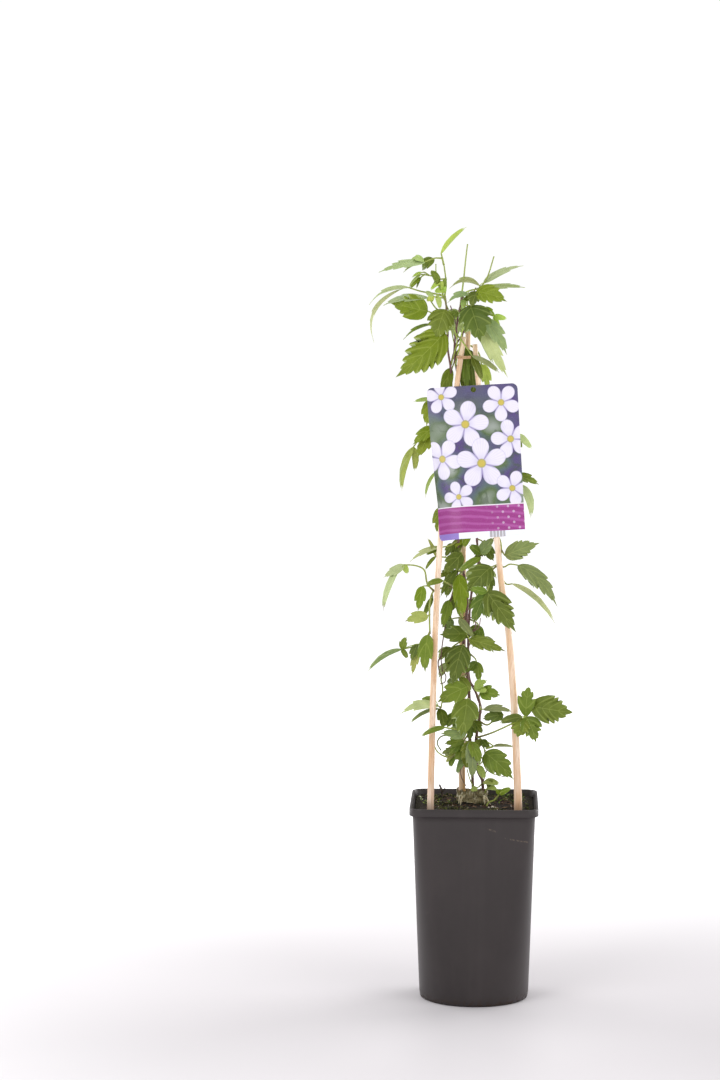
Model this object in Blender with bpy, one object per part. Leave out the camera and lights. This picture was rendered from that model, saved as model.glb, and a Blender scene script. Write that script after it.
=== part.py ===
# A clematis grown up three canes in a square black nursery pot, with its card label.
# Lengths are millimetres from the middle of the pot's base; Blender gets metres.
# Canes and vines are laid out as they show from the front, on the upright plane through the pot's
# middle; their second number is the depth behind that plane.

import math
import random

import bmesh
import bpy
from mathutils import Matrix, Vector

mm = 0.001
gap = 0.35                      # clearance between pieces that touch

eye = (24.0, 770.0, 3260.0)     # across, up, and distance of the place the layout is seen from

potHeight = 213.4
potBaseRadius = 58.5
rimHalf = 68.4                  # half the width of the square rim
rimCorner = 14.0
rimDepth = 8.4
rimStep = 3.5                   # how far the rim stands out from the wall
potWall = 1.2
rimLip = 2.2                    # width of the rim's flat top
potFloor = 3.0
drainRadius = 5.0
drainRing = 34.0

soilLevel = 207.0
soilBump = 0.7

caneRadii = {"cane_left": (3.8, 2.7), "cane_right": (4.2, 2.7), "cane_rear": (4.2, 2.8)}   # at both ends
caneTaper = 1.3
canePaths = {
    "cane_left": [(-47.6, -43, 120), (-47, -40, 205), (-46, -36, 260), (-44.6, -32, 320), (-42, -26, 400),
                  (-37.3, -19, 490), (-30, -13, 570), (-20, -6.5, 657), (-12.5, -2.5, 709)],
    "cane_right": [(47.5, -43, 120), (47, -40, 205), (45.5, -36.5, 250), (42, -31, 320), (35.5, -25.5, 400),
                   (29, -22, 440), (23.5, -18.5, 490), (14, -12.5, 570), (3, -5.5, 660), (-1, -1.5, 701)],
    "cane_rear": [(-13, 24, 120), (-13, 22, 205), (-13.5, 21, 260), (-13, 17.5, 380), (-13, 15, 480),
                  (-12, 12.5, 560), (-10, 9, 650), (-8, 6, 717)],
}
tieHeight = 686.0
tieBand = (3.2, 1.0)            # height and thickness of the tie round the three cane tops

cardSize = (96.5, 161.0, 0.8)
cardMiddle = (0.6, 577.4)       # across and up
cardTurn = 3.3                  # degrees
cardCorner = 6.0
cardHole = (1.4, 76.0, 2.9)     # place on the card and radius
cardLean = 0.0752               # how far it leans back for each millimetre up, as the canes do
cardBack = (490.0, -22.1)       # a height, and the depth of the card's back there
cardCurlFrom = -5.0             # the card is flat right of this line
cardCurlTop = 0.75              # and above this share of its height
cardCurl = 0.0226               # curvature of the lower left corner

bandSize = (15.0, 0.9)          # height and thickness of the band round the stems and the rear cane
bandStems = (4.0, 14.5, 8.6)    # middle and radius of the part that goes round the stems

twigPath = [(-33, 46, 185), (-33.5, 46, 206), (-35, 45, 222), (-37.5, 44, 229)]
twigRadius = 1.5

bladeThickness = 0.8
bladeFold = 0.16                # how far the edges rise beside the midrib, for each millimetre across
neckWidth = 1.1                 # of a blade where it leaves its stalk
firstTooth = 0.4                # place of the first tooth along a blade
toothRun = 0.42                 # from the first tooth to the last
toothNotch = 0.035              # from a tooth's point to its notch
toothReach = (1.14, 0.86)       # of the point and the notch, in half widths
stalkRadius = 0.7
stalkPast = 1.2                 # how far a stalk runs into the blades it carries
stemSides = 5
stalkSides = 3
flatAngle = 0.035               # faces that turn less than this are joined after a union
vineSolver = "MANIFOLD"         # the exact solver leaves edges where two leaves touch

stems = {
    "vine_left": {
        "radius": (1.7, 1.0),
        "path": [(-1, 14, 172), (-1, 14, 205), (-2, 13, 236), (-4, 12, 262), (-6, 10, 300), (-6, 8, 330),
                 (-9, 8, 355), (-12, 8, 385), (-9, 8, 410), (-8.5, 8, 438), (-12, 7, 456), (-17.5, 6, 470),
                 (-18, 6, 492), (-22, 4, 530), (-26, 3, 580), (-25.5, 3, 630), (-26, 3, 670), (-29.5, 3, 695),
                 (-30, 2, 715), (-31, 1, 738), (-33, 0, 752)],
    },
    "vine_right": {
        "radius": (1.5, 1.0),
        "path": [(8, 14, 172), (8, 14, 205), (9, 13, 231), (4, 16, 243), (1.5, 18, 262), (2, 16, 280),
                 (5, 13, 300), (6, 12, 315), (0, 13, 332), (-6, 14, 345), (-7, 14, 376), (-6, 13, 410),
                 (-3, 10, 440), (4, 4, 470), (2, 0, 492), (0, -2, 530), (-6, -1, 570), (-12, 0, 610), (-17, 1.5, 655),
                 (-22.5, 1, 690), (-21, -2, 715), (-17, -3, 738), (-15, -4, 754)],
    },
    "sprout": {
        "radius": (0.9, 0.7),
        "path": [(13, -6, 190), (14, -6, 208), (21.5, -6, 212.5), (27, -7, 219)],
    },
}

shoots = []                     # vine, path, radius at both ends
leaves = []                     # vine, stalk path, blades


def seen(point):
    x, y, z = point
    share = 1 + y / eye[2]
    return Vector((eye[0] + (x - eye[0]) * share, y, eye[1] + (z - eye[1]) * share))


def shoot(vine, path, radius=(0.9, 0.7)):
    shoots.append((vine, [seen(p) for p in path], radius))


def blade(tip, width, roll=15, bow=0.08, base=None, teeth=2, form=(0.55, 1.05)):
    return {"tip": seen(tip), "width": width, "roll": roll, "bow": bow, "base": base and seen(base),
            "teeth": teeth, "form": form}


def leaf(vine, stalk, *blades):
    leaves.append((vine, [seen(p) for p in stalk], blades))


def layTopLeft():
    vine = "vine_left"
    shoot(vine, [(-33, 0, 752), (-31.5, 0, 765), (-34, -1, 785), (-37, -2, 798)])
    leaf(vine, [(-34, -1, 785), (-37, -2, 797)],
         blade((-10, -8, 825), 7, roll=35, bow=0.1, teeth=0))
    leaf(vine, [(-35.8, -1.5, 792), (-44, -4, 792), (-54, -6, 788)],
         blade((-103, -24, 777), 15, roll=52, bow=0.06, teeth=3),
         blade((-77, 2, 777), 6, roll=70, teeth=0),
         blade((-57, 6, 779), 12, roll=30, bow=0.15, base=(-44, -3, 791), teeth=1))
    shoot(vine, [(-33, 0, 748), (-38, -3, 762), (-42, -4, 775), (-42.5, -4, 786)], (0.8, 0.6))
    leaf(vine, [(-42, -4, 776), (-47, -6, 779)],
         blade((-39, -9, 760), 9, roll=35, teeth=1),
         blade((-44, 3, 770), 5, roll=20, teeth=0))
    leaf(vine, [(-38, -3, 762), (-37, -6, 768)],
         blade((-34, -3, 754), 6, roll=30, teeth=0),
         blade((-48, -13, 758), 7, roll=45, teeth=0))
    leaf(vine, [(-41, -4, 772), (-50, -2, 774), (-58, -2, 775)],
         blade((-71, -6, 761), 5, roll=55, teeth=0),
         blade((-68, 2, 772), 4, roll=60, teeth=0))
    leaf(vine, [(-33, 0, 752), (-46, 5, 755), (-58, 10, 757), (-71, 15, 761)],
         blade((-113, 34, 743), 12, roll=66, bow=0.15, teeth=1),
         blade((-108, 24, 703), 13, roll=60, bow=0.26, base=(-80, 16, 759), teeth=1))
    leaf(vine, [(-31.5, 1, 737), (-41, -4, 738), (-50, -7, 750)],
         blade((-98, -22, 742), 20, roll=66, bow=0.1, teeth=2))
    leaf(vine, [(-31, 1, 732), (-42, -8, 733), (-51, -13, 736)],
         blade((-91, -20, 745), 26, roll=12, bow=0.1, teeth=3))
    leaf(vine, [(-30.5, 2, 726), (-31, -5, 733), (-33, -9, 738)],
         blade((-43, -17, 706), 27, roll=8, bow=0.08, teeth=3))
    leaf(vine, [(-30, 2, 712), (-31, -7, 714), (-33, -13, 714)],
         blade((-85, -26, 666), 36, roll=6, bow=0.08, teeth=4))
    leaf(vine, [(-30, 2, 718), (-38, 5, 724), (-46, 5, 722)],
         blade((-77, 1, 706), 9, roll=66, bow=0.1, teeth=1))


def layTopRight():
    vine = "vine_right"
    shoot(vine, [(-15, -4, 754), (-13, -4, 770), (-11, -4, 790), (-9, -4, 807)])
    shoot(vine, [(-15, -4, 754), (-6, -3, 758), (4, -1, 761), (12, 0, 772), (19, 1, 794)])
    leaf(vine, [(4, -1, 761), (4, -2, 763)],
         blade((-28, -6, 760), 12, roll=60, bow=0.22, teeth=1),
         blade((50, 8, 784), 13, roll=52, bow=0.06, base=(8, 2, 766), teeth=2))
    leaf(vine, [(4, -1, 761), (9, -5, 760)],
         blade((52, -16, 761), 12, roll=62, bow=0.06, teeth=2))
    leaf(vine, [(2, -1, 760), (1, -8, 757)],
         blade((33, -22, 746), 21, roll=20, bow=0.1, teeth=3),
         blade((-5, -17, 740), 14, roll=12, teeth=1))
    leaf(vine, [(-15, -4, 752), (-8, -8, 754)],
         blade((-30, -14, 745), 10, roll=52, bow=0.12, teeth=1))
    leaf(vine, [(-17, -3, 738), (-12, -9, 742), (-6, -14, 742)],
         blade((5, -26, 703), 34, roll=8, bow=0.1, teeth=3),
         blade((21, -15, 730), 10, roll=30, base=(6, -13, 738), teeth=1))
    leaf(vine, [(-17, -3, 736), (-2, -1, 738), (14, -3, 736), (19, -4, 731)],
         blade((33, -7, 728), 7, roll=20, teeth=0),
         blade((25, -4, 714), 6, roll=20, teeth=0))
    leaf(vine, [(-19, -2.4, 728), (-6, -4, 730), (8, -6, 728)],
         blade((33, -13, 690), 16, roll=20, bow=0.12, teeth=2),
         blade((34, -24, 666), 15, roll=15, bow=0.08, base=(5, -9, 719), teeth=1),
         blade((19, -12, 680), 9, roll=20, bow=0.06, base=(3, -5, 716), teeth=0))
    leaf(vine, [(-21, -2, 712), (-14, -9, 704), (-4, -13, 689)],
         blade((25, -20, 671), 9, roll=48, bow=0.08, teeth=0),
         blade((7, -14, 662), 9, roll=25, bow=0.05, teeth=0))
    leaf(vine, [(-22.3, 1, 688), (-17, 3, 696), (-11, 1.5, 697)],
         blade((-8.5, -0.5, 645), 9, roll=10, bow=0.02, teeth=1))
    leaf(vine, [(-22.4, 1, 692), (-19, 9, 700), (-8, 13.5, 701), (3, 11, 692), (6, 8, 680)],
         blade((13, 5, 652), 12, roll=15, bow=0.08, teeth=1))


def layBesideCard():
    vine = "vine_left"
    leaf(vine, [(-26, 3, 668), (-27, 5, 676)],
         blade((-31, 2, 640), 13, roll=15, teeth=1))
    leaf(vine, [(-25.5, 3, 640), (-36, 1, 646), (-46, -2, 642)],
         blade((-52, -5, 614), 17, roll=25, bow=0.1, teeth=2),
         blade((-66, -8, 640), 6, roll=40, teeth=0))
    leaf(vine, [(-25.7, 3, 612), (-36, 1, 617), (-45, -1, 613)],
         blade((-67, -9, 594), 14, roll=28, bow=0.12, teeth=2),
         blade((-62, -4, 580), 17, roll=15, bow=0.12, teeth=2))
    leaf(vine, [(-25.9, 3, 598), (-42, 8, 604), (-58, 8, 601), (-66, 6, 592)],
         blade((-78, 0, 544), 9, roll=25, bow=0.15, teeth=0),
         blade((-65, 2, 566), 8, roll=20, teeth=0))
    leaf(vine, [(-26, 3, 575), (-34, 3, 572), (-41, 2, 566)],
         blade((-53, -3, 538), 6, roll=50, bow=0.1, teeth=0))
    leaf(vine, [(-22.5, 4, 536), (-30, 2, 534), (-37, 0, 528)],
         blade((-39, -4, 498), 14, roll=18, teeth=2))
    vine = "vine_right"
    leaf(vine, [(-11.5, 0, 606), (10, 2, 612), (32, 2, 612), (46, 0, 606)],
         blade((60, -6, 590), 8, roll=25, teeth=0),
         blade((40, 10, 575), 20, roll=25, bow=0.1, base=(34, 4, 611), teeth=2))
    leaf(vine, [(-4, -1, 560), (16, 2, 566), (34, 2, 567), (44, -2, 562)],
         blade((68, -10, 552), 12, roll=38, teeth=1),
         blade((59, -6, 516), 11, roll=30, bow=0.3, base=(46, 3, 553), teeth=0),
         blade((33, 6, 530), 18, roll=20, bow=0.1, base=(36, 3, 565), teeth=2))


def layMiddleRight():
    vine = "vine_right"
    shoot(vine, [(1, -1, 512), (13, -6, 506), (24, -10, 498), (28, -12, 484), (25, -13, 466)], (1.0, 0.9))
    leaf(vine, [(28, -12, 482), (32, -14, 476)],
         blade((69, -24, 490), 19, roll=15, bow=0.08, teeth=4))
    leaf(vine, [(3.6, 3, 476), (6, -3, 478)],
         blade((21, -9, 496), 13, roll=20, teeth=1),
         blade((-7, -8, 487), 10, roll=20, teeth=0))
    leaf(vine, [(25, -13, 467), (20, -16, 465), (17, -23, 464)],
         blade((-9, -27, 436), 25, roll=10, bow=0.08, teeth=3))
    leaf(vine, [(4, 4, 470), (6, -8, 474)],
         blade((-18, -17, 458), 9, roll=35, bow=0.08, teeth=0))
    leaf(vine, [(25, -13, 466), (31, -12, 464), (37, -12, 467), (46, -14, 466)],
         blade((88, -26, 421), 18, roll=26, bow=0.22, teeth=3),
         blade((63, -18, 441), 11, roll=32, teeth=1))
    leaf(vine, [(25, -13, 466), (28, -9, 455), (33, -10, 446), (40, -12, 446)],
         blade((85, -26, 404), 9, roll=50, bow=0.12, teeth=0))
    leaf(vine, [(25, -13, 466), (19, -17, 461), (16, -28, 450), (13, -36, 437)],
         blade((-2, -42, 402), 17, roll=8, bow=0.06, teeth=2),
         blade((44, -46, 394), 27, roll=8, bow=0.08, teeth=4),
         blade((-6, -36, 441), 9, roll=20, teeth=0))


def layMiddleLeft():
    vine = "vine_left"
    leaf(vine, [(-18, 6, 482), (-14, -1, 478)],
         blade((-34, -4, 457), 18, roll=15, teeth=2))
    leaf(vine, [(-18, 6, 492), (-26, 0, 487), (-35, -5, 485)],
         blade((-70, -14, 469), 10, roll=60, bow=0.1, teeth=1),
         blade((-53, -10, 476), 6, roll=30, teeth=0))
    leaf(vine, [(-17.5, 6, 472), (-30, -2, 474), (-42, -7, 475)],
         blade((-53, -12, 460), 5, roll=40, teeth=0),
         blade((-51, -6, 495), 5, roll=40, teeth=0))
    leaf(vine, [(-13, 6.8, 458), (-17, -4, 456)],
         blade((-13, -14, 409), 17, roll=8, bow=0.06, teeth=2))
    leaf(vine, [(-13, 6.8, 459), (-19, -3, 461)],
         blade((-37, -13, 431), 9, roll=28, teeth=1))
    shoot(vine, [(-8.5, 8, 438), (-22, 0, 442), (-35, -10, 441), (-44, -15, 438), (-48, -20, 427),
                 (-48.5, -26, 408), (-48, -28, 392)], (1.1, 0.9))
    leaf(vine, [(-44, -15, 438), (-51, -15, 446), (-54, -15, 460), (-63, -16, 465), (-76, -17, 466)],
         blade((-98, -24, 452), 11, roll=35, bow=0.05, teeth=1),
         blade((-98, -20, 416), 8, roll=30, bow=0.18, base=(-81, -17, 463), teeth=0),
         blade((-72, -20, 456), 7, roll=20, teeth=0))
    leaf(vine, [(-22, 0, 442), (-34, -30, 449)],
         blade((-53, -32, 443), 9, roll=50, bow=0.15, teeth=0))
    leaf(vine, [(-44, -15, 438), (-50, -18, 443), (-56, -19, 443)],
         blade((-61, -22, 416), 12, roll=12, bow=0.06, teeth=1))
    leaf(vine, [(-46, -17, 434), (-45, -12, 431)],
         blade((-55, -14, 410), 7, roll=30, teeth=0))
    leaf(vine, [(-48.4, -24, 413), (-50, -27, 411)],
         blade((-75, -30, 405), 13, roll=20, bow=0.1, teeth=1))
    leaf(vine, [(-48, -28, 394), (-50, -30, 391)],
         blade((-53, -34, 350), 16, roll=8, bow=0.06, teeth=2))
    leaf(vine, [(-48, -28, 393), (-54, -26, 384), (-66, -24, 378), (-78, -25, 375)],
         blade((-115, -34, 350), 8, roll=50, bow=0.16, teeth=0),
         blade((-73, -28, 389), 9, roll=20, teeth=1),
         blade((-72, -27, 365), 6, roll=20, teeth=0),
         blade((-68, -28, 362), 10, roll=20, base=(-61, -25, 381), teeth=1),
         blade((-67, -22, 347), 9, roll=20, bow=0.12, base=(-59, -23, 378), teeth=1))
    leaf(vine, [(-10, 8, 400), (-20, 4, 420), (-28, 1, 428)],
         blade((-35, -4, 398), 12, roll=15, teeth=1))


def layLowerLeft():
    vine = "vine_left"
    leaf(vine, [(-12, 8, 388), (-9, -2, 392)],
         blade((-38, -8, 391), 18, roll=14, bow=0.05, teeth=2),
         blade((34, -20, 373), 14, roll=12, bow=0.1, base=(-6, -6, 386), teeth=3))
    leaf(vine, [(-9.5, 8, 405), (-17, -6, 408)],
         blade((-1, -14, 388), 9, roll=25, teeth=0))
    leaf(vine, [(-11.5, 8, 380), (-13, -4, 380)],
         blade((-24, -14, 337), 26, roll=6, bow=0.05, teeth=3))
    leaf(vine, [(-8, 8, 348), (-16, -2, 345)],
         blade((-4, -8, 329), 9, roll=25, teeth=0))
    leaf(vine, [(-6, 8, 335), (-8, -8, 335)],
         blade((-40, -18, 318), 22, roll=12, bow=0.06, teeth=2))
    leaf(vine, [(-6, 8.5, 322), (-8, -12, 322)],
         blade((-15, -26, 281), 28, roll=8, bow=0.08, teeth=2))
    shoot(vine, [(-9, 8, 355), (-26, 0, 356), (-34, -4, 350), (-36, -5, 343), (-34.5, -5, 335),
                 (-34.5, -4, 322), (-36, -4, 312)], (0.9, 0.8))
    leaf(vine, [(-36, -4, 312), (-39, -6, 314)],
         blade((-80, -16, 305), 16, roll=58, bow=0.16, teeth=1),
         blade((-58, 2, 320), 10, roll=20, base=(-42, -3, 320), teeth=0))
    leaf(vine, [(-36, -4, 313), (-37, 1, 311)],
         blade((-70, -6, 294), 6, roll=50, bow=0.12, teeth=0),
         blade((-33, -6, 289), 12, roll=12, teeth=1))
    leaf(vine, [(-6, 10, 300), (-16, -16, 290), (-26, -34, 290), (-32, -40, 291)],
         blade((-58, -46, 280), 8, roll=52, bow=0.1, teeth=0))
    leaf(vine, [(-5, 11, 284), (-9, -14, 285)],
         blade((-37, -28, 284), 14, roll=15, bow=0.08, teeth=2))
    leaf(vine, [(-4.5, 11.5, 275), (-12, -4, 277)],
         blade((-33, -14, 273), 11, roll=20, teeth=1),
         blade((-28, -6, 261), 10, roll=12, teeth=1))
    leaf(vine, [(-4, 12, 266), (-14, -2, 268)],
         blade((-20, -8, 255), 9, roll=15, teeth=0))
    shoot(vine, [(-14, -2, 268), (-24, -5, 259), (-33, -7, 260), (-40, -8, 265), (-43, -8, 271)], (0.6, 0.5))
    leaf(vine, [(-4.3, 12, 270), (-4, -12, 276)],
         blade((-3, -22, 235), 15, roll=8, bow=0.05, teeth=1),
         blade((-14, -16, 256), 12, roll=10, teeth=1),
         blade((7, -19, 250), 12, roll=10, teeth=1))


def layLowerRight():
    vine = "vine_right"
    leaf(vine, [(-1, 13.2, 334), (0, -3, 334)],
         blade((14, -8, 342), 10, roll=25, teeth=1),
         blade((14, -8, 330), 8, roll=25, teeth=0))
    leaf(vine, [(4, 12.4, 322), (6, 0, 329)],
         blade((28, -10, 326), 16, roll=15, bow=0.05, teeth=2))
    leaf(vine, [(6, 12, 314), (6, 0, 311), (10, -5, 311)],
         blade((42, -22, 308), 10, roll=45, bow=0.12, teeth=1))
    leaf(vine, [(5, 13, 298), (14, 2, 294), (24, -10, 302), (31, -15, 305)],
         blade((8, -12, 300), 14, roll=18, bow=0.05, teeth=1))
    leaf(vine, [(2, 16, 280), (12, 6, 283), (20, -5, 286), (31, -24, 291), (43, -41, 297), (55, -45, 303)],
         blade((26, -46, 296), 10, roll=35, bow=0.05, base=(51, -46, 303), teeth=0),
         blade((58, -49, 335), 18, roll=8, bow=0.05, teeth=2, form=(0.7, 0.5)),
         blade((105, -54, 308), 28, roll=12, bow=0.08, base=(60, -45, 315), teeth=4, form=(0.6, 0.8)),
         blade((46, -54, 281), 19, roll=8, bow=0.05, base=(51, -46, 301), teeth=1, form=(0.6, 0.7)),
         blade((66, -53, 275), 21, roll=8, bow=0.08, teeth=2))
    leaf(vine, [(2, 16.4, 277), (10, 6, 277), (20, 0, 271), (12, -2, 268)],
         blade((43, -10, 270), 6, roll=60, bow=0.06, base=(20, -1, 271), teeth=0))
    leaf(vine, [(1.7, 17, 270), (9, 6, 272), (11, -5, 264)],
         blade((42, -16, 235), 25, roll=8, bow=0.08, teeth=3))
    leaf(vine, [(1.6, 17.6, 266), (9, 4, 256), (4, -8, 250)],
         blade((11, -12, 235), 8, roll=15, teeth=0))
    shoot(vine, [(8.7, 4.5, 257), (12, 0, 247), (20, -4, 241), (27, -5, 240), (28, -6, 243)], (0.6, 0.5))
    leaf(vine, [(9, 13, 230), (10, 8, 232)],
         blade((28, 0, 229), 9, roll=38, bow=0.22, teeth=0))
    leaf("sprout", [(23, -6, 214), (27, -7, 219)],
         blade((40, -10, 226), 7, roll=30, teeth=0))


def layBehind():
    # what the front doesn't show: threefold leaves down the back, each with its lean, reach and size
    places = [("vine_left", (-4, 12, 262), -20, 34, 0.6), ("vine_right", (5, 13, 300), -25, 42, 0.6),
              ("vine_left", (-8.4, 8, 350), -55, 22, 0.5), ("vine_left", (-10.5, 8, 368), -50, 22, 0.5),
              ("vine_right", (-7, 14, 379), 40, 26, 0.55), ("vine_left", (-9, 8, 420), 20, 44, 0.7),
              ("vine_right", (0, 7.2, 455), 8, 42, 0.6), ("vine_left", (-20.8, 4.4, 520), 0, 38, 0.8),
              ("vine_right", (-1.5, -1.7, 540), 30, 36, 0.9), ("vine_left", (-25, 3.2, 572), 5, 42, 0.75),
              ("vine_right", (-12.5, 0.2, 614), 42, 44, 0.9), ("vine_left", (-25.6, 3, 640), -5, 36, 0.7),
              ("vine_left", (-30, 2, 714), 10, 34, 0.55), ("vine_right", (-19, -2.5, 728), 0, 38, 0.6)]
    for vine, root, lean, reach, size in places:
        angle = math.radians(lean)
        out = Vector((math.sin(angle), math.cos(angle), 0))
        side = Vector((math.cos(angle), -math.sin(angle), 0))
        start = Vector(root)
        joint = start + out * reach + Vector((0, 0, 9))
        middle = start + out * reach * 0.5 + Vector((0, 0, 8))
        droop = Vector((0, 0, -30 * size))
        leaf(vine, [root, middle, joint],
             blade(joint + out * 30 * size + droop, 24 * size, roll=165, bow=0.14, teeth=2),
             blade(joint + side * 30 * size + droop * 0.7, 19 * size, roll=150, bow=0.1, teeth=1),
             blade(joint - side * 30 * size + droop * 0.7, 19 * size, roll=150, bow=0.1, teeth=1))


def material(name, colour, roughness, alpha=1.0):
    made = bpy.data.materials.new(name)
    made.use_nodes = True
    shader = made.node_tree.nodes["Principled BSDF"]
    shader.inputs["Base Color"].default_value = (*colour, 1)
    shader.inputs["Roughness"].default_value = roughness
    shader.inputs["Metallic"].default_value = 0
    shader.inputs["Alpha"].default_value = alpha
    return made


def addObject(name, bm, colour=None):
    bmesh.ops.recalc_face_normals(bm, faces=bm.faces)
    mesh = bpy.data.meshes.new(name)
    bm.to_mesh(mesh)
    bm.free()
    thing = bpy.data.objects.new(name, mesh)
    bpy.context.scene.collection.objects.link(thing)
    if colour:
        mesh.materials.append(colour)
    return thing


def addTube(bm, points, radii, sides, taper=1.0):
    points = [Vector(p) for p in points]
    last = len(points) - 1
    heading = (points[1] - points[0]).normalized()
    side = heading.orthogonal().normalized()
    rings = []
    for k, point in enumerate(points):
        ahead = (points[min(k + 1, last)] - points[max(k - 1, 0)]).normalized()
        side = (side - ahead * side.dot(ahead)).normalized()
        up = ahead.cross(side)
        radius = radii[1] + (radii[0] - radii[1]) * (1 - k / last) ** taper
        ring = []
        for i in range(sides):
            turn = 2 * math.pi * i / sides
            ring.append(bm.verts.new((point + (side * math.cos(turn) + up * math.sin(turn)) * radius) * mm))
        rings.append(ring)
    skinRings(bm, rings)
    bm.faces.new(rings[0])
    bm.faces.new(rings[-1])


def skinRings(bm, rings):
    for low, high in zip(rings, rings[1:]):
        for i in range(len(low)):
            j = (i + 1) % len(low)
            bm.faces.new((low[i], low[j], high[j], high[i]))


def squareRing(half, corner, z, arcSteps=5):
    # a square with round corners, which is a circle where the corner radius is the half width
    centre = half - corner
    points = []
    for quarter in range(4):
        turn = math.pi / 2 * quarter
        middle = Matrix.Rotation(turn, 3, "Z") @ Vector((centre, centre, 0))
        for i in range(arcSteps + 1):
            angle = turn + math.pi / 2 * i / arcSteps
            points.append(Vector((middle.x + corner * math.cos(angle), middle.y + corner * math.sin(angle), z)))
    return points


def wallRings():
    # outer half width and corner radius up the wall, square at the rim and round at the base
    top = potHeight - rimDepth
    rows = []
    for share in (0.0, 0.3, 0.55, 0.78, 1.0):
        half = potBaseRadius + (rimHalf - rimStep - potBaseRadius) * share
        corner = half + (rimCorner - half) * share ** 0.8
        rows.append((top * share, half, corner))
    return rows


def makePot(colour):
    bm = bmesh.new()
    outer = wallRings()
    rings = [squareRing(half, corner, z) for z, half, corner in outer]
    rings += [squareRing(rimHalf, rimCorner, potHeight - rimDepth), squareRing(rimHalf, rimCorner, potHeight)]
    rings += [squareRing(rimHalf - rimLip, rimCorner - rimLip, potHeight)]
    for z, half, corner in reversed(outer):
        rings.append(squareRing(half - potWall, corner - potWall, max(z, potFloor)))
    rows = [[bm.verts.new(p * mm) for p in ring] for ring in rings]
    skinRings(bm, rows)
    bm.faces.new(rows[0])
    bm.faces.new(rows[-1])
    pot = addObject("pot", bm, colour)
    drains = []
    for k in range(4):
        turn = math.pi / 4 + math.pi / 2 * k
        centre = (drainRing * math.cos(turn), drainRing * math.sin(turn))
        drains.append([(centre[0], centre[1], -4), (centre[0], centre[1], potFloor + 4)])
    cutTubes(pot, drains, drainRadius, 12)
    return pot


def cutTubes(thing, paths, radius, sides):
    bm = bmesh.new()
    for path in paths:
        addTube(bm, path, (radius, radius), sides)
    combine(thing, [addObject("cutter", bm)], "DIFFERENCE")


def combine(thing, others, operation, solver="EXACT"):
    group = bpy.data.collections.new("pieces")
    for other in others:
        bpy.context.scene.collection.objects.unlink(other)
        group.objects.link(other)
    bpy.context.scene.collection.children.link(group)
    step = thing.modifiers.new("combine", "BOOLEAN")
    step.operation = operation
    step.operand_type = "COLLECTION"
    step.collection = group
    step.solver = solver
    evaluated = thing.evaluated_get(bpy.context.evaluated_depsgraph_get())
    made = bpy.data.meshes.new_from_object(evaluated)
    thing.modifiers.clear()
    old = thing.data
    thing.data = made
    made.name = old.name
    bpy.data.meshes.remove(old)
    for other in others:
        bpy.data.objects.remove(other)
    bpy.data.collections.remove(group)


def keepLargest(thing):
    # loose scraps and sealed hollows go, and the one whole body stays
    bm = bmesh.new()
    bm.from_mesh(thing.data)
    left = set(bm.verts)
    shells = []
    while left:
        start = left.pop()
        shell = {start}
        edge = [start]
        while edge:
            vert = edge.pop()
            for link in vert.link_edges:
                other = link.other_vert(vert)
                if other not in shell:
                    shell.add(other)
                    edge.append(other)
        left -= shell
        shells.append(shell)
    shells.sort(key=len)
    for shell in shells[:-1]:
        bmesh.ops.delete(bm, geom=list(shell), context="VERTS")
    bmesh.ops.dissolve_limit(bm, angle_limit=flatAngle, verts=bm.verts, edges=bm.edges)
    bmesh.ops.triangulate(bm, faces=bm.faces)
    bm.to_mesh(thing.data)
    bm.free()


def makeSoil(colour):
    rng = random.Random(5)
    bm = bmesh.new()
    rings = []
    for z, half, corner in wallRings():
        level = min(max(z, potFloor + gap), soilLevel)
        rings.append(squareRing(half - potWall - gap, corner - potWall - gap, level))
    for share in (0.78, 0.5, 0.22):
        ring = squareRing((rimHalf - rimStep - potWall) * share, rimCorner * share, soilLevel)
        rings.append([Vector((p.x, p.y, p.z + rng.uniform(-soilBump, soilBump))) for p in ring])
    rows = [[bm.verts.new(p * mm) for p in ring] for ring in rings]
    skinRings(bm, rows)
    bm.faces.new(rows[0])
    bm.faces.new(rows[-1])
    bmesh.ops.triangulate(bm, faces=bm.faces)
    soil = addObject("soil", bm, colour)
    for name, path in canePaths.items():
        cutTubes(soil, [path[:3]], caneRadii[name][0] + gap, 10)
    cutTubes(soil, [stems[vine]["path"][:3] for vine in stems], 1.7 + gap, 8)
    cutTubes(soil, [twigPath[:3]], twigRadius + gap, 8)
    keepLargest(soil)
    return soil


def makeCanes(colour):
    for name, path in canePaths.items():
        bm = bmesh.new()
        addTube(bm, path, caneRadii[name], 8, caneTaper)
        addObject(name, bm, colour)


def caneAt(name, z):
    path = canePaths[name]
    for low, high in zip(path, path[1:]):
        if low[2] <= z <= high[2]:
            share = (z - low[2]) / (high[2] - low[2])
            return Vector(low).lerp(Vector(high), share)
    return Vector(path[-1])


def addLoop(bm, circles, base, height, thickness):
    # a band pulled round upright rods, given anticlockwise as (x, y, radius)
    def facing(one, other):
        run = Vector((other[0] - one[0], other[1] - one[1]))
        return math.atan2(run.y, run.x) - math.pi / 2 - math.asin((other[2] - one[2]) / run.length)

    loop = []
    for k, rod in enumerate(circles):
        start = facing(circles[k - 1], rod)
        turn = (facing(rod, circles[(k + 1) % len(circles)]) - start) % (2 * math.pi)
        for i in range(5):
            loop.append((rod, start + turn * i / 4))
    rows = []
    for out, lift in ((0, 0), (thickness, 0), (thickness, height), (0, height)):
        row = []
        for (x, y, radius), angle in loop:
            reach = radius + out
            point = Vector((x + reach * math.cos(angle), y + reach * math.sin(angle), base + lift))
            row.append(bm.verts.new(point * mm))
        rows.append(row)
    skinRings(bm, rows + [rows[0]])


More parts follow.
